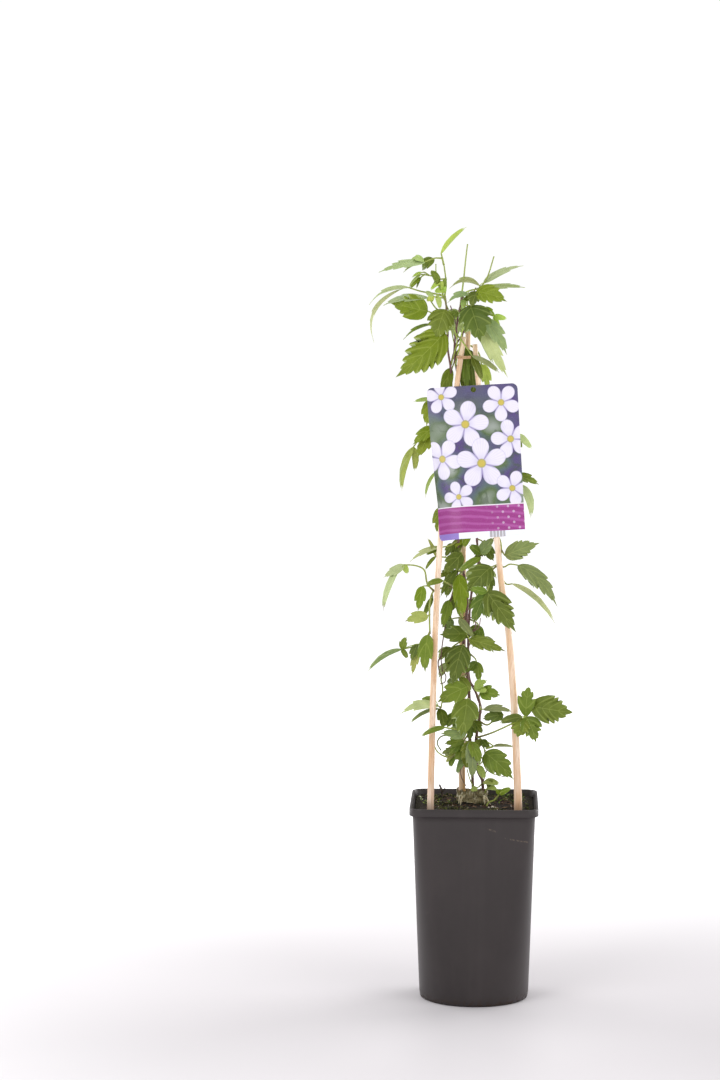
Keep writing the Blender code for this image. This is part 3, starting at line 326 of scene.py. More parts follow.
# leaves: the stalk's path, then for each blade its tip, width, tone, roll, teeth, bow and anything else it has
leafRows = {"vine_left": [
    # top
    ([(-34, -1, 785), (-37, -2, 797)], ((-10, -8, 825), 7, "young", 35, 0, 0.1)),
    ([(-35.8, -1.5, 792), (-44, -4, 792), (-54, -6, 788)], ((-103, -24, 777), 14, "mistSheen", 52, 3, 0.06),
     ((-77, 2, 777), 6, "mid", 70, 0), ((-57, 6, 779), 12, "mid", 30, 1, 0.15, {"base": (-44, -3, 791)})),
    ([(-42, -4, 776), (-47, -6, 779)], ((-39, -9, 760), 9, "mid", 35), ((-44, 3, 770), 5, "young", 20, 0)),
    ([(-38, -3, 762), (-37, -6, 768)], ((-34, -3, 754), 6, "young", 30, 0), ((-48, -13, 758), 7, "young", 45, 0)),
    ([(-41, -4, 772), (-50, -2, 774), (-58, -2, 775)], ((-71, -6, 761), 5, "light", 55, 0),
     ((-68, 2, 772), 4, "light", 60, 0)),
    ([(-33, 0, 752), (-46, 5, 755), (-58, 10, 757), (-71, 15, 761)], ((-113, 34, 743), 8, "pale", 62, 1, 0.15),
     ((-108, 24, 703), 8, "pale", 56, 1, 0.26, {"base": (-80, 16, 759)})),
    ([(-31.5, 1, 737), (-41, -4, 738), (-50, -7, 750)], ((-98, -22, 742), 18, "mistSheen", 64, 2, 0.1)),
    ([(-31, 1, 732), (-42, -8, 733), (-51, -13, 736)],
     ((-91, -20, 745), 26, "bright", 12, 3, 0.1, {"lobe": 0.3, "cut": 0.3, "first": 0.3})),
    ([(-30.5, 2, 726), (-31, -5, 733), (-33, -9, 738)], ((-43, -17, 706), 27, "mid", 8, 3)),
    ([(-30, 2, 712), (-31, -7, 714), (-33, -13, 714)],
     ((-85, -26, 666), 36, "bright", 6, 4, 0.08, {"first": 0.3, "fine": 5})),
    ([(-30, 2, 718), (-38, 5, 724), (-46, 5, 722)], ((-77, 1, 706), 9, "mid", 66, 1, 0.1)),
    ([(-54, -6, 788), (-55, -6, 788.5)], ((-70, -5, 790), 9, "light", 48, 1, 0.22)),
    ([(-50, -2, 774), (-54, -4, 777), (-57, -5, 777)], ((-67, -9, 772), 4.5, "young", 48, 0)),
    ([(-54, -2, 775), (-57, -3, 773), (-58, -3, 772)], ((-70, -8, 759.5), 5.5, "bright", 32, 0),
     ((-63, 1, 760), 3, "dark", 40, 0)),
    ([(-33, 0, 750), (-38, -5, 754), (-41.5, -6, 753)], ((-38, -9, 738), 6.5, "light", 22, 0)),
    ([(-33, 0, 750), (-42, -8, 751), (-45, -9, 752)], ((-52, -13, 746), 7, "young", 30),
     ((-54, -9, 757), 6, "light", 30, 0), ((-47, -12, 745), 4, "young", 24, 0)),
    ([(-34, -1, 756), (-35, -5, 759)], ((-44, -8, 756), 7, "young", 20), ((-31, -8, 761), 6, "young", 20, 0),
     ((-31, -4, 772), 6, "mid", 24, 0)),
    ([(-33.6, -1, 770), (-38, -6, 770)], ((-45, -9, 762), 6, "mid", 36, 0)),
    # beside the label
    ([(-26, 3, 668), (-27, 5, 676)], ((-31, 2, 640), 13, "mid", 15)),
    ([(-25.5, 3, 640), (-36, 1, 646), (-46, -2, 642)], ((-52, -5, 614), 17, "bright", 25, 2, 0.1),
     ((-66, -8, 640), 6, "light", 40, 0)),
    ([(-25.7, 3, 612), (-36, 1, 617), (-45, -1, 613)], ((-67, -9, 594), 14, "bright", 28, 2, 0.12),
     ((-62, -4, 580), 17, "bright", 15, 2, 0.12)),
    ([(-25.9, 3, 598), (-42, 8, 604), (-58, 8, 601), (-66, 6, 592)], ((-78, 0, 544), 9, "light", 32, 0, 0.15),
     ((-65, 2, 566), 8, "light", 20, 0)),
    ([(-26, 3, 575), (-34, 3, 572), (-41, 2, 566)], ((-53, -3, 538), 6, "light", 50, 0, 0.1)),
    ([(-22.5, 4, 536), (-30, 2, 534), (-37, 0, 528)], ((-39, -4, 498), 14, "mid", 18, 2)),
    # below the label
    ([(-18, 6, 482), (-14, -1, 478)], ((-34, -4, 457), 18, "dark", 15, 2)),
    ([(-18, 6, 492), (-26, 0, 487), (-35, -5, 485)], ((-70, -14, 469), 10, "pale", 60, 1, 0.1),
     ((-53, -10, 476), 6, "mid", 30, 0)),
    ([(-17.5, 6, 472), (-30, -2, 474), (-42, -7, 475)], ((-53, -12, 460), 5, "mid", 40, 0),
     ((-51, -6, 495), 5, "light", 40, 0)),
    ([(-13, 6.8, 458), (-17, -4, 456)], ((-13, -14, 409), 17, "bright", 8, 2, 0.06)),
    ([(-13, 6.8, 459), (-19, -3, 461)], ((-37, -13, 431), 9, "dark", 28)),
    ([(-44, -15, 438), (-51, -15, 446), (-54, -15, 460), (-63, -16, 465), (-76, -17, 466)],
     ((-98, -24, 452), 11, "pale", 35, 1, 0.05),
     ((-98, -20, 416), 8, "pale", 30, 0, 0.18, {"base": (-81, -17, 463), "burnt": 0.86}),
     ((-72, -20, 456), 7, "light", 20, 0)),
    ([(-22, 0, 442), (-34, -30, 449)], ((-53, -32, 443), 9, "mid", 50, 0, 0.15)),
    ([(-44, -15, 438), (-50, -18, 443), (-56, -19, 443)], ((-61, -22, 416), 12, "bright", 12, 1, 0.06)),
    ([(-46, -17, 434), (-45, -12, 431)], ((-55, -14, 410), 7, "mid", 30, 0)),
    ([(-48.4, -24, 413), (-50, -27, 411)], ((-75, -30, 405), 13, "light", 20, 1, 0.1, {"burnt": 0.88})),
    ([(-48, -28, 394), (-50, -30, 391)], ((-53, -34, 350), 16, "mid", 8, 2, 0.06)),
    ([(-48, -28, 393), (-54, -26, 384), (-66, -24, 378), (-78, -25, 375)], ((-115, -34, 350), 8, "greySheen", 50, 0, 0.16),
     ((-73, -28, 389), 9, "mid", 20), ((-72, -27, 365), 6, "mid", 20, 0),
     ((-68, -28, 362), 10, "dark", 20, 1, 0.08, {"base": (-61, -25, 381)}),
     ((-67, -22, 347), 9, "light", 20, 1, 0.12, {"base": (-59, -23, 378)})),
    ([(-10, 8, 400), (-20, 4, 420), (-28, 1, 428)], ((-35, -4, 398), 12, "mid", 15)),
    # low down
    ([(-12, 8, 388), (-9, -2, 392)], ((-38, -8, 391), 18, "dark", 14, 2, 0.05),
     ((34, -20, 373), 14, "mid", 12, 3, 0.1, {"base": (-6, -6, 386), "burnt": 0.9})),
    ([(-9.5, 8, 405), (-17, -6, 408)], ((-1, -14, 388), 9, "greySheen", 25, 0)),
    ([(-11.5, 8, 380), (-13, -4, 380)], ((-24, -14, 337), 26, "dark", 6, 3, 0.05)),
    ([(-8, 8, 348), (-16, -2, 345)], ((-4, -8, 329), 9, "mid", 25, 0)),
    ([(-6, 8, 335), (-8, -8, 335)], ((-40, -18, 318), 22, "mid", 12, 2, 0.06)),
    ([(-6, 8.5, 322), (-8, -12, 322)], ((-15, -26, 281), 28, "mid", 8, 2)),
    ([(-36, -4, 312), (-39, -6, 314)], ((-80, -16, 305), 16, "pale", 58, 1, 0.16),
     ((-58, 2, 320), 10, "mid", 20, 0, 0.08, {"base": (-42, -3, 320)})),
    ([(-36, -4, 313), (-37, 1, 311)], ((-70, -6, 294), 6, "greySheen", 50, 0, 0.12), ((-33, -6, 289), 12, "dark", 12)),
    ([(-6, 10, 300), (-16, -16, 290), (-26, -34, 290), (-32, -40, 291)], ((-58, -46, 280), 8, "mid", 52, 0, 0.1)),
    ([(-5, 11, 284), (-9, -14, 285)], ((-37, -28, 284), 14, "greySheen", 15, 2)),
    ([(-4.5, 11.5, 275), (-12, -4, 277)], ((-33, -14, 273), 11, "mid", 20), ((-28, -6, 261), 10, "mid", 12)),
    ([(-4, 12, 266), (-14, -2, 268)], ((-20, -8, 255), 9, "mid", 15, 0)),
    ([(-4.3, 12, 270), (-4, -12, 276)], ((-3, -22, 235), 15, "greySheen", 8, 1, 0.05), ((-14, -16, 256), 12, "mid", 10),
     ((7, -19, 250), 12, "mid", 10)),
    # small leaves close round the rear cane
    ([(-17.6, 6, 474), (-14, 12, 492), (-15, 10, 494)], ((-25, 4, 470), 12, "dark", 14),
     ((-21, 2, 484), 9, "bright", 22)),
    ([(-18, 6, 486), (-24, 8, 489)], ((-32, 3, 474), 9, "dark", 20)),
    ([(-13, 7, 458), (-22, 12, 460), (-25, 12, 458)], ((-31, 5, 430), 13, "dark", 14), ((-40, 4, 452), 9, "mid", 26)),
    ([(-8.5, 8, 438), (-15, 6, 436), (-18, 4, 434)], ((-29, 0, 414), 12, "dark", 16, 2),
     ((-17, -2, 410), 9, "mid", 12)),
    ([(-9, 8, 410), (-20, 10, 409), (-25, 9, 408)], ((-36, 3, 412), 8, "mid", 40, 0), ((-31, 4, 390), 11, "greySheen", 18)),
    ([(-12, 8, 386), (-21, 5, 380), (-25, 3, 377)], ((-36, -1, 366), 10, "dark", 26), ((-28, -2, 352), 9, "mid", 14)),
    ([(-9, 8, 356), (-18, 4, 347), (-20, 2, 344)], ((-27, -4, 320), 12, "mid", 12), ((-30, -2, 338), 7, "greySheen", 34, 0)),
    ([(-6, 9, 318), (-16, 4, 309), (-20, 2, 306)], ((-30, -4, 290), 12, "dark", 18), ((-17, -5, 281), 10, "dark", 10)),
    ([(-5, 11, 286), (-16, 8, 270), (-21, 6, 266)], ((-36, 0, 262), 8, "greySheen", 34), ((-26, 2, 247), 8, "mid", 20, 0),
     ((-31, 0, 252), 5, "light", 24, 0)),
    ([(-4.2, 12, 264), (-9, 8, 262), (-12, 6, 259)], ((-19, 0, 240), 7, "greySheen", 16, 0),
     ((-7, -2, 246), 7, "mid", 16, 0)),
], "vine_right": [
    # top
    ([(4, -1, 761), (4, -2, 763)], ((-28, -6, 760), 12, "greySheen", 60, 1, 0.22),
     ((50, 8, 784), 12, "mistSheen", 54, 2, 0.06, {"base": (8, 2, 766)})),
    ([(4, -1, 761), (9, -5, 760)], ((52, -16, 761), 12, "greySheen", 60, 2, 0.06)),
    ([(2, -1, 760), (1, -8, 757)], ((33, -22, 746), 21, "bright", 20, 3, 0.1), ((-5, -17, 740), 14, "dark", 12)),
    ([(-15, -4, 752), (-8, -8, 754)], ((-30, -14, 745), 10, "greySheen", 52, 1, 0.12)),
    ([(-17, -3, 738), (-12, -9, 742), (-6, -14, 742)], ((5, -26, 703), 34, "dark", 8, 3, 0.1),
     ((21, -15, 730), 10, "bright", 30, 1, 0.08, {"base": (6, -13, 738)})),
    ([(-17, -3, 736), (-2, -1, 738), (14, -3, 736), (19, -4, 731)], ((33, -7, 728), 7, "young", 20, 0),
     ((25, -4, 714), 6, "young", 20, 0)),
    ([(-19, -2.4, 728), (-6, -4, 730), (8, -6, 728)], ((33, -13, 690), 16, "greySheen", 20, 2, 0.12),
     ((34, -24, 666), 15, "pale", 15, 1, 0.08, {"base": (5, -9, 719)}),
     ((19, -12, 680), 9, "pale", 20, 0, 0.06, {"base": (3, -5, 716)})),
    ([(-21, -2, 712), (-14, -9, 704), (-4, -13, 689)], ((25, -20, 671), 9, "greySheen", 48, 0),
     ((7, -14, 662), 9, "dark", 25, 0, 0.05)),
    ([(-22.3, 1, 688), (-17, 3, 696), (-11, 1.5, 697)], ((-8.5, -0.5, 645), 9, "dark", 10, 1, 0.02)),
    ([(-22.4, 1, 692), (-19, 9, 700), (-8, 13.5, 701), (3, 11, 692), (6, 8, 680)], ((13, 5, 652), 12, "young", 15)),
    ([(-22.3, 1, 690), (-15, 5, 698), (-8, 2.5, 696)], ((-2, 1, 634), 17, "dark", 6, 1, 0.0)),
    ([(-21, 0, 686), (-17, 4, 688)], ((-13, 2, 652), 8, "dark", 12, 0, 0.0)),
    ([(-15, -4, 752), (-12, -5, 750)], ((-13, -9, 738), 7, "light", 16, 0), ((-3, -9, 748), 7, "mid", 24, 0)),
    ([(-18, -3, 734), (-19, -6, 735)], ((-28, -11, 729), 9, "mid", 18)),
    # beside the label
    ([(-11.5, 0, 606), (10, 2, 612), (32, 2, 612), (46, 0, 606)], ((60, -6, 590), 8, "pale", 25, 0),
     ((40, 10, 575), 20, "mid", 25, 2, 0.1, {"base": (34, 4, 611)})),
    ([(-4, -1, 560), (16, 2, 566), (34, 2, 567), (44, -2, 562)], ((68, -10, 552), 12, "mid", 38),
     ((59, -6, 516), 11, "pale", 30, 0, 0.3, {"base": (46, 3, 553)}),
     ((33, 6, 530), 18, "mid", 20, 2, 0.1, {"base": (36, 3, 565)})),
    # below the label
    ([(28, -12, 482), (32, -14, 476)], ((69, -24, 490), 19, "greySheen", 15, 4)),
    ([(3.6, 3, 476), (6, -3, 478)], ((21, -9, 496), 13, "greySheen", 20), ((-7, -8, 487), 10, "dark", 20, 0)),
    ([(25, -13, 467), (20, -16, 465), (17, -23, 464)], ((-9, -27, 436), 25, "dark", 10, 3)),
    ([(4, 4, 470), (6, -8, 474)], ((-18, -17, 458), 9, "mid", 35, 0)),
    ([(25, -13, 466), (31, -12, 464), (37, -12, 467), (46, -14, 466)], ((88, -26, 421), 18, "greySheen", 26, 3, 0.22),
     ((63, -18, 441), 11, "greySheen", 32)),
    ([(25, -13, 466), (28, -9, 455), (33, -10, 446), (40, -12, 446)], ((85, -26, 404), 9, "pale", 50, 0, 0.12)),
    ([(25, -13, 466), (19, -17, 461), (16, -28, 450), (13, -36, 437)], ((-2, -42, 402), 17, "dark", 8, 2, 0.06),
     ((44, -46, 394), 27, "dark", 8, 4, 0.08, {"lobe": 0.4, "cut": 0.3, "first": 0.14}),
     ((-6, -36, 441), 9, "mid", 20, 0)),
    # low down
    ([(-1, 13.2, 334), (0, -3, 334)], ((14, -8, 342), 10, "light", 25), ((14, -8, 330), 8, "light", 25, 0)),
    ([(4, 12.4, 322), (6, 0, 329)], ((28, -10, 326), 16, "mid", 15, 2, 0.05)),
    ([(6, 12, 314), (6, 0, 311), (10, -5, 311)], ((42, -22, 308), 10, "greySheen", 45, 1, 0.12)),
    ([(5, 13, 298), (14, 2, 294), (24, -10, 302), (31, -15, 305)], ((8, -12, 300), 14, "dark", 18, 1, 0.05)),
    ([(2, 16, 280), (12, 6, 283), (20, -5, 286), (31, -24, 291), (43, -41, 297), (55, -45, 303)],
     ((26, -46, 296), 10, "dark", 35, 0, 0.05, {"base": (51, -46, 303)}),
     ((58, -49, 335), 18, "mid", 8, 2, 0.05, {"form": (0.7, 0.5), "lobe": 0.42, "fine": 2, "first": 0.3}),
     ((105, -54, 308), 28, "mid", 12, 4, 0.08,
      {"base": (60, -45, 315), "form": (0.6, 0.8), "lobe": 0.26, "cut": 0.34, "fine": 4, "first": 0.24}),
     ((46, -54, 281), 19, "mid", 8, 1, 0.05, {"base": (51, -46, 301), "form": (0.6, 0.7), "fine": 3}),
     ((66, -53, 275), 21, "mid", 8, 2, 0.08, {"lobe": 0.5, "cut": 0.34, "fine": 3, "first": 0.16})),
    ([(2, 16.4, 277), (10, 6, 277), (20, 0, 271), (12, -2, 268)],
     ((43, -10, 270), 6, "greySheen", 60, 0, 0.06, {"base": (20, -1, 271)})),
    ([(1.7, 17, 270), (9, 6, 272), (11, -5, 264)], ((42, -16, 235), 25, "mid", 8, 3)),
    ([(1.6, 17.6, 266), (9, 4, 256), (4, -8, 250)], ((11, -12, 235), 8, "light", 15, 0)),
    ([(9, 13, 230), (10, 8, 232)], ((28, 0, 229), 9, "light", 38, 0, 0.22)),
    # small leaves close round the rear cane
    ([(2, 0, 494), (7, 5, 492), (10, 6, 488)], ((20, 2, 470), 13, "dark", 12), ((-2, 2, 468), 10, "dark", 14)),
    ([(1, -1, 508), (-3, 6, 507), (-6, 8, 504)], ((-12, 4, 484), 9, "bright", 14, 0), ((-22, 4, 496), 9, "dark", 22)),
    ([(4, 4, 470), (10, 6, 462), (12, 6, 458)], ((16, 0, 434), 13, "dark", 10), ((0, 0, 446), 10, "mid", 14)),
    ([(-3, 10, 440), (2, 8, 434), (4, 6, 430)], ((12, 0, 412), 10, "bright", 14), ((-6, 2, 418), 9, "dark", 12)),
    ([(-6, 13, 408), (2, 9, 404), (4, 8, 401)], ((8, 2, 380), 10, "dark", 12), ((-12, 4, 386), 10, "dark", 14)),
    ([(-6.6, 14, 372), (0, 9, 366), (2, 7, 362)], ((4, 0, 340), 11, "mid", 10), ((-10, 1, 350), 9, "dark", 14)),
    ([(5.5, 12.6, 308), (1, 4, 302), (-1, 2, 298)], ((-6, -6, 276), 12, "dark", 10), ((9, -5, 284), 10, "dark", 16)),
    ([(2, 16, 281), (5, 8, 280), (8, 6, 278)], ((16, 0, 268), 8, "dark", 24, 0), ((-2, 1, 264), 8, "mid", 16)),
    ([(1.6, 18, 262), (4, 10, 254), (5, 7, 250)], ((9, 1, 236), 7, "greySheen", 16, 0)),
    ([(9, 13, 231), (5, 8, 227), (3, 6, 226)], ((-4, 1, 222), 6, "light", 26, 0)),
    ([(8.6, 14, 216), (12, 7, 222), (14, 5, 226)], ((25, -2, 223), 7, "light", 36, 0, 0.2),
     ((20, 0, 235), 6, "mid", 30, 0)),
], "sprout": [
    ([(23, -6, 214), (27, -7, 219)], ((40, -10, 226), 7, "bright", 30, 0), ((23, -9, 225), 5, "bright", 24, 0)),
]}

# thin stalks and tendrils: path, radius at both ends, and the tones of foot and head
threadRows = {"vine_left": [
    ([(-26.5, 5, 672), (-22.5, 6, 684), (-22, 5, 697), (-24, 4, 707), (-26.5, 2, 719), (-30, 1, 730)], (0.75, 0.6),
     "green", "fresh"),
    ([(-26, 4, 680), (-22, -2, 694), (-20, -5, 706), (-25, -6, 723), (-31, 0, 734)], (0.75, 0.6), "green", "fresh"),
    ([(-31, 1, 742), (-26, -3, 733), (-22, -4, 728), (-19.5, -5, 732)], (0.5, 0.4), "green", "fresh"),
    ([(-27, 4, 676), (-24, 7, 690), (-20, 7, 704), (-21, 5, 722), (-27, 2, 742)], (0.9, 0.6), "purple", "purple"),
    ([(-17.5, 6, 472), (-19, 2, 455), (-24, 1, 436), (-29, 0, 414), (-33, -1, 392), (-36, -2, 368), (-34.5, -3, 352)],
     (0.8, 0.6), "purple", "woody"),
    ([(-36, -2, 368), (-39, -4, 362), (-38, -5, 352), (-35, -6, 344)], (0.8, 0.6), "woody", "woody"),
    ([(-34.5, -3, 352), (-31, -5, 347), (-32, -6, 340), (-37, -6, 338)], (0.7, 0.5), "woody", "woody"),
    ([(-12, 8, 386), (-4, 0, 393), (1, -4, 400), (-1, -5, 408), (-6, -4, 409), (-8, -3, 402), (-3, -3, 395),
     (4, -4, 399), (6, -5, 409)], (0.7, 0.5), "woody", "purple"),
    ([(-4.5, 12, 262), (-12, 3, 250), (-15, -1, 244), (-13, -3, 235), (-9, -4, 228)], (0.7, 0.5), "woody", "woody"),
    ([(-14, -2, 268), (-19, -6, 276), (-27, -8, 282), (-36, -9, 281), (-40, -9, 274), (-36, -10, 266)], (0.9, 0.7),
     "sage", "sage"),
], "vine_right": [
    ([(-21.5, 1, 678), (-19.5, -3, 689), (-17.5, -5, 697), (-16, -6, 708), (-13, -7, 720), (-10, -8, 733)],
     (0.75, 0.6), "green", "fresh"),
    ([(-22, 1, 683), (-17.5, 4, 697), (-13, 4, 715), (-9.5, 2, 737), (-8, 1, 757)], (0.75, 0.6), "green", "fresh"),
    ([(-21.5, 0, 700), (-12, 2, 716), (-6, 2, 735), (-4, 1, 752), (0, 0, 761)], (0.9, 0.7), "purple", "purple"),
    ([(-17, -3, 738), (-14.5, -4, 747), (-15, -5, 751)], (1.3, 1.1), "purple", "purple"),
    ([(8.5, 14, 214), (2, 8, 222), (-4, 5, 233), (-8, 4, 246)], (0.8, 0.6), "purple", "green"),
    ([(2, 16, 280), (9, 4, 270), (15, 1, 262), (21, 1, 258), (27, 1, 262)], (0.6, 0.4), "purple", "green"),
    ([(9, 12, 231), (14, 4, 246), (21, 0, 247), (27, -3, 240), (32, -4, 238), (30, -4, 244)], (0.6, 0.4), "purple",
     "woody"),
], "sprout": [
    ([(27, -7, 219), (30, -8, 222), (35, -9, 222)], (0.75, 0.6), "green", "fresh"),
]}


def blade(tip, width, tone, roll=15, teeth=1, bow=0.08, more=None):
    spec = {"tip": seen(tip), "width": width, "tone": tone, "roll": roll, "teeth": teeth, "bow": bow,
            "form": (0.55, 1.05), **(more or {})}
    spec["base"] = seen(spec["base"]) if "base" in spec else None
    return spec


def layBehind():
    # threefold leaves down the back, each with its lean, reach and size
    places = [("vine_left", (-4, 12, 262), -20, 34, 0.6), ("vine_right", (5, 13, 300), -25, 42, 0.6),
              ("vine_left", (-8.4, 8, 350), -55, 22, 0.5), ("vine_left", (-10.5, 8, 368), -50, 22, 0.5),
              ("vine_right", (-7, 14, 379), 40, 26, 0.55), ("vine_left", (-9, 8, 420), 20, 44, 0.7),
              ("vine_right", (0, 7.2, 455), 8, 42, 0.6), ("vine_left", (-20.8, 4.4, 520), 0, 38, 0.8),
              ("vine_right", (-1.5, -1.7, 540), 30, 36, 0.9), ("vine_left", (-25, 3.2, 572), 5, 42, 0.75),
              ("vine_right", (-12.5, 0.2, 614), 42, 44, 0.9), ("vine_left", (-25.6, 3, 640), -5, 36, 0.7),
              ("vine_left", (-30, 2, 714), 10, 34, 0.55), ("vine_right", (-19, -2.5, 728), 0, 38, 0.6)]
    for k, (vine, root, lean, reach, size) in enumerate(places):
        angle = radians(lean)
        out = Vector((sin(angle), cos(angle), 0))
        side = Vector((cos(angle), -sin(angle), 0))
        start = Vector(root)
        joint = start + out * reach + upBy(9)
        middle = start + out * reach * 0.5 + upBy(8)
        droop = upBy(-30 * size)
        tones = ("mid", "bright", "dark")
        leafRows[vine].append(([root, middle, joint],
                               (joint + out * 30 * size + droop, 24 * size, tones[k % 3], 165, 2, 0.14),
                               (joint + side * 30 * size + droop * 0.7, 19 * size, tones[(k + 1) % 3], 150, 1, 0.1),
                               (joint - side * 30 * size + droop * 0.7, 19 * size, "mid", 150, 1, 0.1)))


layBehind()
print("laid out", sum(len(rows) for rows in leafRows.values()), "leaf stalks")


# camera, light and floor

studio = {
    "eye": (0.024, -3.260, 0.770),
    "tiltDown": 4.864,            # degrees
    "turnLeft": 2.58,
    "lens": 102.2,                # millimetres on a 36 mm sensor
    "aim": (0, 0, 0.45),          # where the softboxes point
    "sky": 0.6,                   # light from all round; what the camera sees is white
    "softboxes": {                # place, size in metres and power in watts
        "keySoftbox": ((-1.7, -2.2, 2.3), 1.6, 32.0),
        "fillSoftbox": ((2.1, -1.7, 1.5), 1.6, 17.0),
        "backLeftSoftbox": ((-1.7, 1.2, 0.8), 1.3, 16.0),
        "backRightSoftbox": ((1.7, 1.2, 0.8), 1.3, 23.0),
        "topSoftbox": ((0.2, 0.9, 2.6), 1.4, 14.0),
    },
    # painted shade: the floor colour runs from a darker tone near the pot to a paler one far off
    "floorShadedNear": paint(224, 220, 223),
    "floorFar": paint(252, 251, 253),
    # colour of the painted shadow in front of the pot and the painted shade to its right
    "floorPaintedShadow": paint(160, 156, 160),
}


def addSoftbox(name, where, size, power):
    lamp = bpy.data.lights.new(name, "AREA")
    lamp.shape = "SQUARE"
    lamp.size = size
    lamp.energy = power
    thing = addObject(name, lamp)
    thing.location = where
    thing.rotation_euler = (Vector(studio["aim"]) - Vector(where)).to_track_quat("-Z", "Y").to_euler()
    thing.visible_camera = False


def setStudio():
    scene = bpy.context.scene
    lens = bpy.data.cameras.new("camera")
    lens.lens = studio["lens"]
    lens.sensor_width = 36
    lens.clip_end = 100
    scene.camera = camera = addObject("camera", lens)
    camera.location = studio["eye"]
    camera.rotation_euler = (radians(90 - studio["tiltDown"]), 0, radians(studio["turnLeft"]))
    scene.view_settings.view_transform = "Standard"
    world = bpy.data.worlds.new("studio")
    world.use_nodes = True
    backdrop = world.node_tree.nodes["Background"]
    backdrop.inputs["Color"].default_value = (1, 1, 1, 1)
    path = world.node_tree.nodes.new("ShaderNodeLightPath")
    straight = Wire(world.node_tree, path.outputs["Is Camera Ray"])
    strength = studio["sky"] + straight * (1.02 - studio["sky"])
    world.node_tree.links.new(strength.socket, backdrop.inputs["Strength"])
    scene.world = world
    for name, (where, size, power) in studio["softboxes"].items():
        addSoftbox(name, where, size, power)


def addFloor():
    heap = Heap()
    centre = heap.add((0, 0, -0.3))
    rings = []
    for radius in (150, 400, 900, 2000, 6000, 20000):
        rings.append([heap.add((radius * cos(pi * i / 32), radius * sin(pi * i / 32), -0.3))
                      for i in range(64)])
    for i in range(64):
        heap.face((centre, rings[0][i], rings[0][(i + 1) % 64]))
    heap.bands(rings, flip=True)
    skin = Finish("floorPaper", 0.2, {"Roughness": 0.85, "Emission Strength": 1.0})
    x, y = skin.axis("X"), skin.axis("Y")
    away = (x * x + (y + 0.1) * (y + 0.1)).root()
    # painted shade: the floor is painted darker near the pot and paler further away
    far = away.rise(0.2, 1.3)
    grain = skin.noise(3.0, 2).rise(0.3, 0.7) * 0.06
    shade = skin.mix(far + grain * (1 - far), studio["floorShadedNear"], studio["floorFar"])
    # painted shadow: a soft dark patch on the floor in front of the pot
    ahead = (1 - abs(x).rise(0.02, 0.095)) * (1 - y.rise(-0.12, 0.0)) * y.rise(-0.5, -0.12) * 0.18
    # painted shade: a darker wash on the floor to the right of the pot
    aside = x.rise(0.05, 0.45) * (1 - x.rise(0.45, 1.1)) * (1 - abs(y).rise(0.4, 1.4)) * 0.34
    # painted shadow and shade laid over the floor colour
    shade = skin.mix(ahead.highest(aside), shade, studio["floorPaintedShadow"])
    # painted glow: the floor gives off light, more with distance, so that it fades into the white backdrop
    glow = skin.mix(away.rise(0.22, 1.4), (0, 0, 0, 1), (0.5, 0.5, 0.5, 1))
    mesh = heap.mesh("floor")
    mesh.materials.append(skin.feed(shade, bump=(skin.noise(260, 3), 0.05, 0.001), glow=glow))
    addObject("floor", mesh)


setStudio()
addFloor()
print("studio set")


# pot

potLook = {
    "height": 213.4,
    "baseRadius": 58.5,
    "rimHalf": 68.4,
    "rimCorner": 14.0,
    "rimDepth": 8.4,
    "rimStep": 3.5,
    "rimLip": 2.2,
    "wall": 1.2,
    "floor": 3.0,
    "drainRadius": 5.0,
    "drainRing": 34.0,
    "black": paint(47, 41, 41),
    "dust": paint(92, 82, 82),
    "scratch": paint(128, 112, 96),
    "roughness": 0.4,
}


def squareRing(half, corner, z, arcSteps=14):
    # a square with round corners, a circle where the corner radius is the half width
    centre = half - corner
    points = []
    for quarter in range(4):
        start = pi / 2 * quarter
        middle = Matrix.Rotation(start, 3, "Z") @ Vector((centre, centre, 0))
        for i in range(arcSteps + 1):
            angle = start + pi / 2 * i / arcSteps
            points.append(Vector((middle.x + corner * cos(angle), middle.y + corner * sin(angle), z)))
    return points


def wallAt(share):
    # half width and corner radius up the wall, round at the base and square at the rim
    half = potLook["baseRadius"] + (potLook["rimHalf"] - potLook["rimStep"] - potLook["baseRadius"]) * share
    return half, half + (potLook["rimCorner"] - half) * share ** 0.8


def makePotSkin():
    skin = Finish("potPlastic", 0.42)
    x, y, z = (skin.axis(letter) for letter in "XYZ")
    cloud = skin.noise(14, 5).rise(0.35, 0.7)
    streaks = skin.noise(60, 4, where=skin.place((1, 1, 0.06))).rise(0.45, 0.75)
    colour = skin.mix(cloud * 0.1 + streaks * 0.05, potLook["black"], potLook["dust"])
    grit = skin.cells(900).rise(0.32, 0.1) * skin.noise(120, 3).rise(0.55, 0.7)
    foot = (1 - z.rise(0.0, 0.012)) * skin.noise(240, 4).rise(0.42, 0.62)
    colour = skin.mix(grit * 0.15 + foot * 0.75, colour, paint(60, 46, 36))
    ragged = skin.noise(420, 4).rise(0.4, 0.6)
    front = 1 - y.rise(-0.056, -0.05)
    scratches = None
    for acrossStart, acrossEnd, height, slope, width in ((0.014, 0.024, 0.193, -0.35, 0.0014),
                                                         (0.032, 0.058, 0.183, -0.19, 0.0012),
                                                         (-0.052, -0.047, 0.098, 0.8, 0.0006)):
        reach = x.rise(acrossStart, acrossStart + 0.002) * (1 - x.rise(acrossEnd - 0.002, acrossEnd))
        line = 1 - abs(z - (height + (x - acrossStart) * slope)).rise(0.0, width)
        mark = reach * line * front
        scratches = mark if scratches is None else scratches.highest(mark)
    colour = skin.mix(scratches * ragged * 0.45, colour, potLook["scratch"])
    height = skin.noise(1500, 3) * 0.5 + skin.noise(180, 3) * 0.6
    rough = potLook["roughness"] + cloud * 0.07 + foot * 0.3 - streaks * 0.03
    return skin.feed(colour, rough, (height, 0.1, 0.0005))


